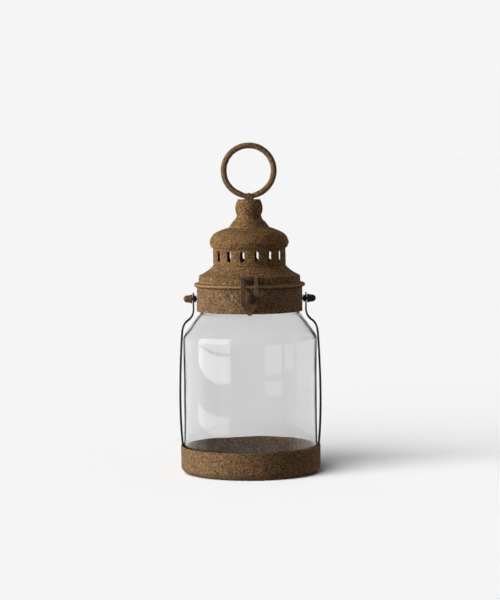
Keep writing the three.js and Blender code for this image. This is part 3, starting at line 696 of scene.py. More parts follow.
def set_world(shades):
    """A soft room: pale behind the lantern, bright to the left in gloss, and a dim sky as a light."""
    level_sky, upper_sky = 0.09, 0.21
    left_wall, right_wall = 1.15, 0.05
    world = bpy.data.worlds.new("room")
    world.use_nodes = True
    tree = world.node_tree
    tree.nodes.clear()
    place = add_node(tree, "ShaderNodeTexCoord").outputs["Generated"]
    axes = add_node(tree, "ShaderNodeSeparateXYZ", {0: place}).outputs
    raised = add_node(tree, "ShaderNodeMath", {0: axes["Z"], 1: axes["Z"]}, operation="MULTIPLY")
    inputs = {"Value": raised.outputs[0], "To Min": level_sky, "To Max": upper_sky}
    sky = add_node(tree, "ShaderNodeMapRange", inputs).outputs["Result"]
    inputs = {"Value": axes["X"], "From Min": -1.0, "From Max": 0.6}
    inputs.update({"To Min": left_wall, "To Max": right_wall})
    room = add_node(tree, "ShaderNodeMapRange", inputs).outputs["Result"]
    path = add_node(tree, "ShaderNodeLightPath").outputs
    inputs = {"Factor": path["Is Glossy Ray"], MIX_A: sky, MIX_B: room}
    unseen = add_node(tree, "ShaderNodeMix", inputs, data_type="RGBA").outputs[MIX_RESULT]
    inputs = {0: path["Is Camera Ray"], 1: path["Is Transmission Ray"]}
    seen = add_node(tree, "ShaderNodeMath", inputs, operation="MAXIMUM").outputs[0]
    inputs = {"Factor": seen, MIX_A: unseen, MIX_B: shades.paper}
    shown = add_node(tree, "ShaderNodeMix", inputs, data_type="RGBA").outputs[MIX_RESULT]
    light = add_node(tree, "ShaderNodeBackground", {"Color": shown, "Strength": 1.0})
    add_node(tree, "ShaderNodeOutputWorld", {"Surface": light.outputs[0]})
    bpy.context.scene.world = world


def paper_finish(shades):
    """Matt card, calendered: flat and pale where it is seen, and dimmer for the light it throws back."""
    material, tree = new_tree("matt_card_calendered")
    path = add_node(tree, "ShaderNodeLightPath").outputs
    inputs = {0: path["Is Transmission Ray"], 1: path["Is Glossy Ray"]}
    through = add_node(tree, "ShaderNodeMath", inputs, operation="MAXIMUM").outputs[0]
    # Card in front of the lantern would veil the glass, so glass mirrors it dimly.
    place = add_node(tree, "ShaderNodeTexCoord").outputs["Object"]
    depth = add_node(tree, "ShaderNodeSeparateXYZ", {0: place}).outputs["Y"]
    dimmed_from, clear_from = -100 * MM, -60 * MM
    inputs = {"Value": depth, "From Min": dimmed_from, "From Max": clear_from, "To Min": CARD_IN_GLASS}
    clear = add_node(tree, "ShaderNodeMapRange", inputs).outputs["Result"]
    behind = add_node(tree, "ShaderNodeMath", {0: through, 1: clear}, operation="MULTIPLY").outputs[0]
    inputs = {0: path["Is Camera Ray"], 1: behind}
    seen = add_node(tree, "ShaderNodeMath", inputs, operation="MAXIMUM").outputs[0]
    inputs = {"Factor": seen, MIX_A: shades.paper_bounce, MIX_B: shades.paper}
    shown = add_node(tree, "ShaderNodeMix", inputs, data_type="RGBA").outputs[MIX_RESULT]
    inputs = {"Base Color": shown, "Roughness": 1.0, "Specular IOR Level": 0.0}
    shader = add_node(tree, "ShaderNodeBsdfPrincipled", inputs)
    add_node(tree, "ShaderNodeOutputMaterial", {"Surface": shader.outputs[0]})
    return material


def place_gathered_light(power):
    """The light that the jar gathers and bends down on to its tray, as a disc that only lights."""
    lamp = add_lamp("gathered_light", "AREA", ("camera", "glossy", "transmission"))
    lamp.data.shape = "DISK"
    lamp.data.size = size("jar", "neck") * 2 * MM
    lamp.data.spread = math.radians(100)
    lamp.data.energy = power
    level = 0.7  # share of the jar's height
    lamp.location = (0, 0, high("glass_jar").z * MM * level)
    return lamp


class LANTERN_OT_stage(bpy.types.Operator):
    """Make the floor, the room, the lights and the camera"""

    bl_idname = "lantern.stage"
    bl_label = "Stage"

    def execute(self, context):
        stage, shades = settings("stage"), settings("colours")
        place_camera(stage)
        set_world(shades)

        reach = 120  # metres, so far that the floor ends near the horizon
        bm = bmesh.new()
        bmesh.ops.create_grid(bm, x_segments=8, y_segments=8, size=reach)
        mesh = bpy.data.meshes.new("floor")
        bm.to_mesh(mesh)
        bm.free()
        mesh.materials.append(paper_finish(shades))
        floor = bpy.data.objects.new("floor", mesh)
        context.scene.collection.objects.link(floor)

        all_but_floor = bpy.data.collections.new("all_but_floor")
        all_but_floor.objects.link(floor)
        all_but_floor.collection_objects[0].light_linking.link_state = "EXCLUDE"
        key = place_sun("key", stage.key, side=74, height=12, width=38)
        fill = place_sun("fill", stage.fill, side=-150, height=6, width=60)
        for lamp in (key, fill, place_gathered_light(stage.gathered)):
            lamp.light_linking.receiver_collection = all_but_floor
        # The floor has a lamp of its own, kept off the lantern, which gives the wide shadow.
        height = 30
        strength = stage.floor_light * math.pi / math.sin(math.radians(height))
        floor_lamp = place_sun("floor_light", strength, side=38, height=height, width=60)
        floor_only = bpy.data.collections.new("floor_only")
        floor_only.objects.link(floor)
        floor_lamp.light_linking.receiver_collection = floor_only

        # Right and left end as degrees and distance, height of the foot, height, and brightness.
        bright, dim, glow = stage.window, 0.36 * stage.window, 0.14 * stage.window
        for name, right, left, foot, height, radiance in (
            ("window_left_upper", (31, 370), (95, 540), 98, 300, 1.15 * bright),
            ("window_left_lower", (31, 370), (95, 540), 65, 29, bright),
            ("window_left_foot", (31, 270), (95, 380), 18, 22, 0.6 * bright),
            ("window_right_upper", (-53, 450), (-22, 450), 66, 50, dim),
            ("window_right_lower", (-53, 450), (-22, 450), 41, 17, dim),
            ("window_right_far", (-74, 450), (-57, 450), 73, 40, dim),
            ("wall_left", (85, 330), (140, 330), 1, 170, glow),
        ):
            place_window(name, right, left, foot, height, radiance)
        context.scene.view_settings.view_transform = "Standard"
        return {"FINISHED"}


# ---- The base


class LANTERN_OT_tray(bpy.types.Operator):
    """Make the rusted tray that everything stands in"""

    bl_idname = "lantern.tray"
    bl_label = "Tray"

    def execute(self, context):
        radius, top = high("base_tray").y, high("base_tray").z
        sheet, corner, wear, step = lengths("iron", "sheet", "tray_corner", "worn_edge", "facing")
        middle = radius - corner
        profile = [
            (0, 0),
            *arc(middle, corner, corner, -90, 0, 9),
            (radius, top, 0.55),
            (radius - sheet, top, 0.55),
            *arc(middle, corner, corner - sheet, 0, -90, 7),
            (0, sheet),
        ]
        bm = turned(filled(worn(profile, wear), step), settings("iron").sides)
        piece("rusted_tray", pitted(bm, seed=1), "base", "rusted_iron", ["base_tray"])
        return {"FINISHED"}


def jar_profile():
    """Half of the jar's section: hollowed foot, side, shoulder, neck and rim, and back down inside."""
    radius, foot_z, top = high("glass_jar").y, low("glass_jar").z, high("glass_jar").z
    wall, foot, neck, punt, kick = lengths("jar", "wall", "foot", "neck", "punt", "kick")
    punt_r, body, shoulder, floor, rim = lengths("jar", "punt_radius", "body", "shoulder", "floor", "rim")
    shoulder_z = foot_z + body
    neck_z = shoulder_z + shoulder
    slope = math.atan2(shoulder, radius - neck)
    lower = wall * math.tan((math.pi / 2 - slope) / 2)  # how much lower the inner bends lie
    near, far = 0.55 * punt_r, 0.8 * punt_r  # where the hollow's curve leaves the middle and the rim
    bend, soft_bend = 4.2, 13
    rim_z = top - rim
    rim_r = high("collar_band").y - size("iron", "sheet") - AIR
    floor_z = foot_z + floor
    outer = [
        *bezier([(0, foot_z + punt), (near, foot_z + punt), (far, foot_z), (punt_r, foot_z)], 8),
        *arc(radius - foot, foot_z + foot, foot, -90, 0, 10),
        (radius, shoulder_z, soft_bend),
        (neck, neck_z, bend),
        (neck, rim_z - 1, 0.6),
        (rim_r, rim_z, 0.5),
        (rim_r, top, 1.2),
    ]
    inner_r = radius - wall
    mouth = neck - wall
    inner = [
        (mouth, top, 1.2),
        (mouth, neck_z - lower, bend),
        (inner_r, shoulder_z - lower, soft_bend - wall),
        *arc(inner_r - foot / 2, floor_z + foot / 2, foot / 2, 0, -90, 8),
        *bezier([(punt_r, floor_z), (far, floor_z), (near, floor_z + kick), (0, floor_z + kick)], 8),
    ]
    return filled(worn(outer + inner, radius=1, steps=7), step=4)


class LANTERN_OT_jar(bpy.types.Operator):
    """Make the blown glass jar"""

    bl_idname = "lantern.jar"
    bl_label = "Jar"

    def execute(self, context):
        jar = settings("jar")
        shift = Vector((3.1, 7.7, 1.3))
        ripple = 0.4  # how long and how high the ripples are beside the waves

        def depth_at(place):
            """How far the wall waves in at a place."""
            wave = noise.noise(place / jar.wave_length + shift)
            wave += ripple * noise.noise(place / (ripple * jar.wave_length) - shift)
            return jar.wave * clamped(0.5 + 0.7 * wave)

        bm = sunk(turned(jar_profile(), jar.sides), depth_at)
        piece("blown_jar", bm, "base", "clear_glass", ["glass_jar"], crisp=60)
        return {"FINISHED"}


class LANTERN_OT_collar(bpy.types.Operator):
    """Make the rusted collar round the jar's neck"""

    bl_idname = "lantern.collar"
    bl_label = "Collar"

    def execute(self, context):
        radius, foot = high("collar_band").y, low("collar_band").z
        top = low("lid_skirt").z - 0.1
        sheet, throat, lip = lengths("iron", "sheet", "throat", "collar_lip")
        wear, step = lengths("iron", "worn_edge", "facing")
        inside = radius - sheet
        profile = [
            (inside, foot + 0.5),
            (inside, foot, 0.4),
            (radius, foot, lip),
            (radius, top, 0.25),
            (throat, top, 0.4),
            (throat, top - sheet, 0.4),
            (inside, top - sheet, 0.2),
            (inside, foot + 0.5),
        ]
        closed = filled(worn(profile, wear), step)[:-1]
        bm = turned(closed, settings("iron").sides, ring=True)
        piece("rusted_collar", pitted(bm, seed=2), "base", "rusted_iron", ["collar_band"])
        return {"FINISHED"}


def strap_line():
    """The middle line of a strap as (x, z): up the tray, bowed past the jar and in beside the collar."""
    thick = size("fittings", "strap")
    foot_x = high("glass_jar").x + AIR / 3 + thick / 2
    top_x = low("cap_nut_right").x - AIR - size("fittings", "strap_tip") / 2
    foot_z, tip_z = low("strap_right").z, high("strap_right").z
    rim_z = high("base_tray").z - 1.8  # here the strap leaves the tray's wall
    knee_z = low("glass_jar").z + size("jar", "body") + 2.5  # here it starts to bend in
    bow, lean = size("fittings", "strap_bow"), foot_x - top_x
    rise = knee_z - rim_z
    # Handles up to the knee, as shares of the bow and of the way up.
    bow_handles = ((0, 0), (1.6, 0.26), (1.05, 0.7), (0, 1))
    bowed = [(foot_x + out * bow, rim_z + up * rise) for out, up in bow_handles]
    # Handles over the knee, as shares of the lean inwards and heights in millimetres.
    bend_handles = ((0, 0), (0.05, 9.2), (0.48, 12.8), (1, 17), (1, 24))
    bent = [(foot_x - back * lean, knee_z + up) for back, up in bend_handles]
    line = [(foot_x, foot_z), (foot_x, rim_z)]
    line += bezier(bowed, 40)[1:] + bezier(bent[:3], 14)[1:] + bezier(bent[2:], 14)[1:] + [(top_x, tip_z)]
    return filled(line, step=1.5)


def strap_mesh(side, seed):
    """A flat strip along the strap's line, with worn edges and a round tip."""
    line = strap_line()
    heavy, slim = size("fittings", "strap") / 2, size("fittings", "strap_tip") / 2
    half, tip_z = size("fittings", "strap_width") / 2, line[-1][1]
    thins_over = 12  # millimetres below the tip
    bm = bmesh.new()
    rows = []
    for i, point in enumerate(line):
        at = Vector(point)
        along = Vector(line[min(i + 1, len(line) - 1)]) - Vector(line[max(i - 1, 0)])
        along.normalize()
        across = Vector((along.y, -along.x))
        past = max(0, at.y - (tip_z - half))
        wide = max(math.sqrt(max(half * half - past * past, 0)), 0.25)
        edge = min(0.3, 0.4 * wide)
        thick = slim + (heavy - slim) * clamped((tip_z - thins_over - at.y) / thins_over)
        section = [(-thick, v) for v in spread(-wide + edge, wide - edge, 8)]
        section += [(-0.6 * thick, wide), (0.6 * thick, wide)]
        section += [(thick, v) for v in spread(wide - edge, -wide + edge, 8)]
        section += [(0.6 * thick, -wide), (-0.6 * thick, -wide)]
        rows.append(
            [
                bm.verts.new((side * (at.x + across.x * u) * MM, v * MM, (at.y + across.y * u) * MM))
                for u, v in section
            ]
        )
    skin(bm, rows)
    bm.faces.new(rows[0])
    bm.faces.new(rows[-1])
    return pitted(bm, seed, depth=0.25, dents=0.1)


class LANTERN_OT_straps(bpy.types.Operator):
    """Make the two sprung straps"""

    bl_idname = "lantern.straps"
    bl_label = "Straps"

    def execute(self, context):
        for seed, (hand, side) in enumerate((("left", -1), ("right", 1))):
            piece(f"{hand}_strap_forged", strap_mesh(side, 20 + seed), "base", "dark_iron", [f"strap_{hand}"])
        return {"FINISHED"}


class LANTERN_OT_pivots(bpy.types.Operator):
    """Make the screws, spacers and cap nuts that hold the straps"""

    bl_idname = "lantern.pivots"
    bl_label = "Pivots"

    def execute(self, context):
        screw, head, waist = lengths("fittings", "screw", "screw_head", "spacer_waist")
        nut, ledge = lengths("fittings", "nut_body", "nut_shoulder")
        bore = screw + AIR
        screw_sides, spacer_sides, nut_sides = 32, 40, 48
        for seed, (hand, side) in enumerate((("left", -1), ("right", 1))):
            nodes = {name: f"{name}_{hand}" for name in ("pivot_screw", "spacer", "cap_nut")}
            reach = {
                name: sorted((side * low(node).x, side * high(node).x)) for name, node in nodes.items()
            }
            middle_z = (low(nodes["cap_nut"]).z + high(nodes["cap_nut"]).z) / 2
            out = (side, 0, 0)

            start, end = reach["pivot_screw"]
            long, cap = end - start, 1.5
            profile = [(0, 0), (head, 0, 0.6), (head, cap, 0.3), (screw, cap), (screw, long), (0, long)]
            bm = turned_towards(worn(profile, radius=0.2), screw_sides, (side * start, 0, middle_z), out)
            piece(f"{hand}_pivot_screw_turned", bm, "base", "dark_iron", [nodes["pivot_screw"]])

            start, end = reach["spacer"]
            rim, wide = high(nodes["spacer"]).y, end - start
            profile = [(bore, 0.1), (bore, 0, 0.1), (rim, 0, 0.35)]
            profile += [(waist, wide / 2, 0.9), (rim, wide, 0.35), (bore, wide, 0.1)]
            foot = (side * start, 0, middle_z)
            bm = turned_towards(worn(profile, radius=0.1), spacer_sides, foot, out, ring=True)
            piece(f"{hand}_spacer_turned", bm, "base", "dark_iron", [nodes["spacer"]])

            start, end = reach["cap_nut"]
            rim, long, bore_end = high(nodes["cap_nut"]).y, end - start, 6.1
            profile = [(0, bore_end), (bore, bore_end), (bore, 0), (rim, 0, 0.6)]
            profile += [(rim, ledge - 0.3, 0.5), (nut, ledge + 0.4, 0.3), (nut, long - nut - 0.4)]
            profile += arc(0, long - nut, nut, 0, 90, 8)[1:]
            profile = filled(worn(profile, radius=0.3), step=0.9)
            bm = turned_towards(profile, nut_sides, (side * start, 0, middle_z), out)
            bm = pitted(bm, 30 + seed, depth=0.6, dents=0)
            # The right nut takes the dark knob finish as painted shade, since it stands on the shaded side;
            # the left nut keeps the fittings' rust.
            finish = handled_iron_and_painted_shade if hand == "right" else rusted_fittings
            piece(f"{hand}_cap_nut_cast", bm, "base", "dark_iron", [nodes["cap_nut"]], finish=finish)
        return {"FINISHED"}


# ---- The lid


def skirt_profile():
    """The skirt's section: rolled bead, tapered wall, crisp edge, hollow slope and spigot."""
    bead, wall, taper, cove = lengths("lid", "bead", "wall", "taper", "cove")
    sheet = size("iron", "sheet")
    bead_r = high("lid_skirt").y - bead
    foot = low("lid_skirt").z
    wall_r, wall_top = bead_r - bead, foot + wall
    drum_r, drum_z = high("vent_drum").y, low("vent_drum").z
    bead_top = foot + 2 * bead
    slope = bezier(
        [(wall_r - taper, wall_top), (drum_r + 3.2, wall_top + 0.48 * cove), (drum_r, drum_z - AIR)], 12
    )
    inner = [(r - 0.8 * sheet, z - sheet) for r, z in slope][::-1]
    spigot, top = drum_r - sheet - AIR, high("lid_skirt").z
    profile = [
        (wall_r - sheet, foot + 1),
        (wall_r - sheet, foot, 0.3),
        *arc(bead_r, foot + bead, bead, -90, 80, 12),
        (wall_r - taper * 2 * bead / wall + 0.1, bead_top + 0.3),
        *slope,
        (spigot, drum_z - AIR, 0.2),
        (spigot, top, 0.3),
        (spigot - sheet, top, 0.3),
        (spigot - sheet, inner[0][1]),
        *inner[1:],
        (wall_r - sheet, foot + 1),
    ]
    return filled(worn(profile, radius=0.35), size("iron", "facing"))[:-1]


def vent_outline(count_side, count_cap, half, foot, top):
    """A slot's outline as (u, z): up its right side, over the cap, down its left and round its foot."""
    lower, upper = foot + half, top - half
    line = [(half, z) for z in spread(lower, upper, count_side + 1)[:-1]]
    line += arc(0, upper, half, 0, 180, count_cap)[:-1]
    line += [(-half, z) for z in spread(upper, lower, count_side + 1)[:-1]]
    return line + arc(0, lower, half, 180, 360, count_cap)[:-1]


def field_outline(count_side, count_cap, left, right, foot, top):
    """The border of the wall round one slot, with as many points as the slot's outline."""
    line = [(right, z) for z in spread(foot, top, count_side + 1)[:-1]]
    line += [(u, top) for u in spread(right, left, count_cap + 1)[:-1]]
    line += [(left, z) for z in spread(top, foot, count_side + 1)[:-1]]
    return line + [(u, foot) for u in spread(left, right, count_cap + 1)[:-1]]


def vent_turns():
    """Where the slots stand round the drum, as angles from the front: the rear ones have crept."""
    lid = settings("lid")
    pitch = 2 * math.pi / lid.vents
    middles = [(i + 0.5) * pitch for i in range(lid.vents)]
    return [turn - lid.vent_drift * math.sin(turn / 2) ** 2 for turn in middles]


def blended(start, end, share):
    """A line that lies between two others, point by point."""
    return [tuple(Vector(a).lerp(Vector(b), share)) for a, b in zip(start, end)]


def drum_mesh():
    """A thin cylinder whose slots have worn edges: one field of mesh round each slot, inside and out."""
    outer, foot, top = high("vent_drum").y, low("vent_drum").z, low("dome_cap").z + 0.5
    inner = outer - size("iron", "sheet")
    half, worn_by = size("lid", "vent_width") / 2, 0.22
    vent_foot = foot + size("lid", "vent_foot")
    vent_top = vent_foot + size("lid", "vent_height")
    turns = vent_turns()
    side_points, cap_points, bands = 12, 12, 7
    bm = bmesh.new()
    for i, turn in enumerate(turns):
        before = turns[i - 1] - (2 * math.pi if i == 0 else 0)
        after = turns[(i + 1) % len(turns)] + (2 * math.pi if i == len(turns) - 1 else 0)
        left, right = (before - turn) / 2 * outer, (after - turn) / 2 * outer
        border = field_outline(side_points, cap_points, left, right, foot, top)
        wide = vent_outline(side_points, cap_points, half + worn_by, vent_foot - worn_by, vent_top + worn_by)
        slim = vent_outline(side_points, cap_points, half, vent_foot, vent_top)

        fields = [blended(border, wide, k / bands) for k in range(bands + 1)]
        lines = [(field, outer) for field in fields]
        lines += [(slim, outer - worn_by), (slim, inner + worn_by)]
        lines += [(field, inner) for field in fields[::-1]]
        rows = [
            [bm.verts.new(round_point(radius, turn + u / outer, z)) for u, z in line]
            for line, radius in lines
        ]
        skin(bm, rows)
        first, last = rows[0], rows[-1]
        count = len(first)
        rims = list(range(side_points, side_points + cap_points))
        rims += list(range(2 * side_points + cap_points, count))
        for k in rims:
            n = (k + 1) % count
            bm.faces.new((first[n], first[k], last[k], last[n]))
    bmesh.ops.remove_doubles(bm, verts=bm.verts, dist=NO_LENGTH)
    return bm


def dome_profile():
    """The dome's section: a lip over the drum, a faint ridge and a rounded crown."""
    sheet, ridge, crown_r = size("iron", "sheet"), size("lid", "ridge"), size("lid", "crown")
    radius, foot, top = high("dome_cap").y, low("dome_cap").z, high("dome_cap").z
    drum_r = high("vent_drum").y
    lip, ridge_z = drum_r + 0.6, foot + ridge
    brow_z = ridge_z + 0.62 * (top - ridge_z)
    crown = bezier([(radius, ridge_z), (radius - 1.9, brow_z), (radius - 7, top - 4.2), (crown_r, top)], 22)
    under = [(r - 0.9 * sheet, z - 0.75 * sheet) for r, z in crown][::-1]
    hole, seat = 5.0, drum_r - 2 * sheet
    profile = [
        (seat, foot + 0.4),
        (seat, foot, 0.2),
        (lip, foot, 0.4),
        (lip + 1.4, foot + 1.2, 0.8),
        (radius - 0.7, foot + 0.55 * ridge, 1.2),
        *crown,
        (hole, top),
        (hole, top - sheet),
        *under,
        (radius - 0.7 - sheet, foot + 0.62 * ridge),
        (lip - 0.2, foot + 1.5 * sheet),
        (seat, foot + sheet, 0.2),
        (seat, foot + 0.4),
    ]
    return filled(worn(profile, radius=0.5), size("iron", "facing"))[:-1]


def finial_profile():
    """The finial's section: rivet, flared foot with a small step, neck and knob."""
    seat, top = high("dome_cap").z, high("finial").z
    h = top - low("finial").z - 5
    start = top - h
    # The rim is hammered down on the dome, so that no gap shows between them.
    foot = [(20.3, seat - start - 0.4), (19, 0.07 * h), (17.4, 0.14 * h), (17.1, 0.17 * h), (15.3, 0.22 * h)]
    neck = [(13.8, 0.28 * h), (12.8, 0.35 * h), (12.4, 0.43 * h), (12.9, 0.49 * h)]
    knob = [(13.6, 0.56 * h), (14, 0.65 * h), (13.7, 0.77 * h), (12.9, 0.88 * h), (11.8, 0.96 * h), (11.2, h)]
    line = [(0, -5), (4.7, -5), (4.7, foot[0][1]), *worn([*foot, *neck], radius=0.5)[:-1]]
    line += eased([neck[-1], *knob])
    return filled([(r, start + z) for r, z in line + [(0, h)]], size("iron", "facing"))


class LANTERN_OT_lid(bpy.types.Operator):
    """Make the lid's skirt, pierced drum, dome and finial"""

    bl_idname = "lantern.lid"
    bl_label = "Lid"

    def execute(self, context):
        sides = settings("iron").sides
        skirt = pitted(turned(skirt_profile(), sides, ring=True), seed=3, depth=0.7)
        piece("rusted_skirt", skirt, "lid", "rusted_iron", ["lid_skirt"], crisp=32, finish=bead_highlight_sheet)
        drum = pitted(drum_mesh(), seed=4, depth=0.8, dents=0.5)
        piece("pierced_drum", drum, "lid", "rusted_iron", ["vent_drum"], finish=lid_sheet)
        dome = pitted(turned(dome_profile(), int(0.75 * sides), ring=True), seed=5)
        piece("rusted_dome", dome, "lid", "rusted_iron", ["dome_cap"], finish=lid_sheet)
        finial = pitted(turned(finial_profile(), int(0.375 * sides)), seed=6)
        piece("rusted_finial", finial, "lid", "rusted_iron", ["finial"], finish=lid_sheet)
        return {"FINISHED"}


# ---- Hinge, hasp and ring


FLAT_HEAD, DOMED_HEAD = 0.75, 1.1  # how thick the heads of a hinge rivet are


def rivet_profile(long, shank, head):
    """A rivet with a flat head inside and a low domed one outside."""
    return [
        (0, -FLAT_HEAD),
        (head - 0.4, -FLAT_HEAD, 0.3),
        (head - 0.4, 0, 0.2),
        (shank, 0),
        (shank, long),
        (head, long, 0.15),
        (0.86 * head, long + 0.5 * DOMED_HEAD, 0.5),
        (0.5 * head, long + DOMED_HEAD - 0.12, 0.8),
        (0, long + DOMED_HEAD),
    ]


def pin_profile(long, shank, head, cap):
    """A pin with a flat head at each end."""
    return [
        (0, 0),
        (head, 0, 0.35),
        (head, cap, 0.2),
        (shank, cap),
        (shank, long - cap),
        (head, long - cap, 0.2),
        (head, long, 0.35),
        (0, long),
    ]


def peened_shank(long, thick, peen_r, peen):
    """The back of a headed fitting: a shank, and the flattened end that holds it in the sheet."""
    return [(0, -long - peen), (peen_r, -long - peen, 0.2), (peen_r, -long), (thick, -long), (thick, 0)]


def turned_pin(name, node, body, cap, ledge):
    """A pin along X in the place of its solid. Its heads stand out by a ledge."""
    start, end = low(node), high(node)
    head = (end.z - start.z) / 2
    shank = head - ledge
    foot = (start.x, (start.y + end.y) / 2, (start.z + end.z) / 2)
    profile = worn(pin_profile(end.x - start.x, shank, head, cap), radius=0.1)
    piece(name, turned_towards(profile, PIN_SIDES, foot, (1, 0, 0)), body, "dark_iron", [node])


class LANTERN_OT_hinge(bpy.types.Operator):
    """Make the rear hinge's leaves, pin and rivets"""

    bl_idname = "lantern.hinge"
    bl_label = "Hinge"

    def execute(self, context):
        for name, node, body in (
            ("lower_hinge_leaf_folded", "hinge_leaf_lower", "base"),
            ("upper_hinge_leaf_folded", "hinge_leaf_upper", "lid"),
        ):
            piece(name, softened(node), body, "rusted_iron", [node], finish=rusted_fittings)
        turned_pin("hinge_pin_turned", "hinge_pin", "base", cap=1.2, ledge=0.8)
        shank, head = lengths("fittings", "rivet", "rivet_head")
        for level, body in (("lower", "base"), ("upper", "lid")):
            for hand in ("left", "right"):
                node = f"hinge_rivet_{level}_{hand}"
                start, end = low(node), high(node)
                foot = ((start.x + end.x) / 2, start.y + FLAT_HEAD, (start.z + end.z) / 2)
                long = end.y - start.y - FLAT_HEAD - DOMED_HEAD
                profile = worn(rivet_profile(long, shank, head), radius=0.1)
                bm = turned_towards(profile, PIN_SIDES, foot, (0, 1, 0))
                piece(f"{level}_{hand}_hinge_rivet_headed", bm, body, "dark_iron", [node])
        return {"FINISHED"}


class LANTERN_OT_hasp(bpy.types.Operator):
    """Make the hasp, its bracket, pin and knob, and the catch stud behind it"""

    bl_idname = "lantern.hasp"
    bl_label = "Hasp"

    def execute(self, context):
        bracket = softened("hasp_bracket")
        # The bracket's dark red-brown is painted shade: it darkens what shows through the hasp's window,
        # which lies in shadow.
        piece("hasp_bracket_folded", bracket, "lid", "rusted_iron", ["hasp_bracket"], finish=handled_iron_and_painted_shade)
        turned_pin("hasp_pin_turned", "hasp_pin", "lid", cap=0.8, ledge=0.6)
        plate = remeshed(softened("hasp_plate"), step=0.36)
        # The tongue narrows from the knob to its tip, which is half as wide.
        foot, knob_z = low("hasp_plate").z * MM, low("hasp_knob").z * MM
        for vertex in plate.verts:
            past = clamped((knob_z - vertex.co.z) / (knob_z - foot))
            vertex.co.x *= 1 - 0.5 * past * past
        plate = pitted(plate, seed=8, depth=0.5, dents=0.3)
        nodes = ["hasp_plate"]
        # The plate's darker fitting rust is painted shade, which sets it off from the collar behind it.
        piece("hasp_plate_forged", plate, "hasp", "rusted_iron", nodes, crisp=60, finish=rusted_fittings)

        start, end = low("hasp_knob"), high("hasp_knob")
        radius, rise, knob_sides = (end.x - start.x) / 2, 3.6, 48
        edge = rise / 3
        profile = [
            *peened_shank(long=1.8, thick=1.5, peen_r=2.1, peen=0.6),
            (radius, 0, 0.3),
            (radius, edge, 0.5),
            *[(radius * u, edge + v * (rise - edge)) for u, v in arc(0, 0, 1, 20, 90, 8)],
        ]
        profile = filled(worn(profile, radius=0.2), step=0.8)
        foot = (0, start.y + rise, (start.z + end.z) / 2 + 1)
        knob = turned_towards(profile, knob_sides, foot, (0, -1, 0))
        knob = pitted(knob, seed=9, depth=0.4, dents=0)
        piece("hasp_knob_cast", knob, "hasp", "dark_iron", ["hasp_knob"], finish=handled_iron_and_painted_shade)

        start, end = low("catch_stud"), high("catch_stud")
        radius, rise, peen, stud_sides = (end.x - start.x) / 2, 1.8, 0.75, 32
        profile = [
            *peened_shank(long=end.y - start.y - rise - peen, thick=1.2, peen_r=2, peen=peen),
            (radius, 0, 0.2),
            (0.84 * radius, 0.6 * rise, 0.6),
            (0.45 * radius, 0.95 * rise, 0.6),
            (0, rise),
        ]
        foot = (0, start.y + rise, (start.z + end.z) / 2)
        bm = turned_towards(worn(profile, radius=0.1), stud_sides, foot, (0, -1, 0))
        piece("catch_stud_headed", bm, "base", "dark_iron", ["catch_stud"])
        return {"FINISHED"}


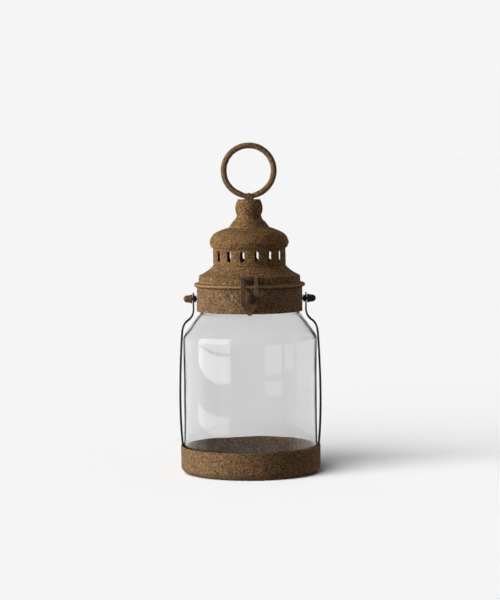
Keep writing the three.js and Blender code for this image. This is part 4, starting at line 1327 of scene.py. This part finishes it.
class LANTERN_OT_ring(bpy.types.Operator):
    """Make the carry ring and the eye that holds it"""

    bl_idname = "lantern.ring"
    bl_label = "Ring"

    def execute(self, context):
        start, end = low("carry_ring"), high("carry_ring")
        wire, wear = lengths("lid", "wire", "wire_wear")
        outer = (end.x - start.x) / 2

        # The eye is hammered flat over the wire and spreads where it enters the knob.
        flattened, widened, widened_from = 0.5, 0.35, 2
        eye = remeshed(softened("ring_eye"), step=0.3, smoothing=2)
        wire_top, knob_top = start.z + 2 * wire, high("finial").z
        for vertex in eye.verts:
            over = max(vertex.co.z / MM - wire_top, 0)
            under = clamped((knob_top + widened_from - vertex.co.z / MM) / widened_from)
            vertex.co.z -= flattened * over * MM
            vertex.co.x *= 1 + widened * under
        eye = pitted(eye, seed=11, depth=0.3, dents=0)
        piece("ring_eye_folded", eye, "lid", "rusted_iron", ["ring_eye"], crisp=60)

        wire_sides, ring_sides = 20, 200
        section = arc(0, 0, wire, 0, 360, wire_sides)[:-1]
        bm = turned([(outer - wire + u, v) for u, v in section], ring_sides, ring=True)
        thin_to, thick_from = math.radians(9), math.radians(22)
        for vertex in bm.verts:
            turn = abs(math.atan2(vertex.co.x, -vertex.co.y))
            grown = 1 + wear / wire * clamped((turn - thin_to) / (thick_from - thin_to))
            reach = math.hypot(vertex.co.x, vertex.co.y)
            vertex.co.xy *= (outer * MM - (outer * MM - reach) * grown) / reach
            vertex.co.z *= grown
        middle = Vector((0, (start.y + end.y) / 2, (start.z + end.z) / 2)) * MM
        upright = Matrix.Rotation(math.radians(90), 4, "X")
        bmesh.ops.transform(bm, matrix=Matrix.Translation(middle) @ upright, verts=bm.verts)
        bm = pitted(bm, seed=10, depth=0.45, dents=0.1)
        piece("carry_ring_forged", bm, "ring", "rusted_iron", ["carry_ring"])
        return {"FINISHED"}


class LANTERN_PT_panel(bpy.types.Panel):
    """The lantern's pieces, in the order in which they are built"""

    bl_label = "Jar lantern"
    bl_idname = "LANTERN_PT_panel"
    bl_space_type = "VIEW_3D"
    bl_region_type = "UI"
    bl_category = "Lantern"

    def draw(self, context):
        for operator in OPERATORS:
            self.layout.operator(operator.bl_idname)


GROUPS = {
    "iron": LanternIron,
    "jar": LanternJar,
    "lid": LanternLid,
    "fittings": LanternFittings,
    "colours": LanternColours,
    "stage": LanternStage,
}
OPERATORS = (
    LANTERN_OT_stage,
    LANTERN_OT_tray,
    LANTERN_OT_jar,
    LANTERN_OT_collar,
    LANTERN_OT_straps,
    LANTERN_OT_pivots,
    LANTERN_OT_lid,
    LANTERN_OT_hinge,
    LANTERN_OT_hasp,
    LANTERN_OT_ring,
)


def register():
    for group in (*GROUPS.values(), *OPERATORS, LANTERN_PT_panel):
        bpy.utils.register_class(group)
    for name, group in GROUPS.items():
        setattr(bpy.types.Scene, "lantern_" + name, PointerProperty(type=group))


def unregister():
    for name in GROUPS:
        delattr(bpy.types.Scene, "lantern_" + name)
    for group in reversed((*GROUPS.values(), *OPERATORS, LANTERN_PT_panel)):
        bpy.utils.unregister_class(group)


def main():
    register()
    for step in ("stage", "tray", "jar", "collar", "straps", "pivots", "lid", "hinge", "hasp", "ring"):
        getattr(bpy.ops.lantern, step)()


if __name__ == "__main__":
    main()
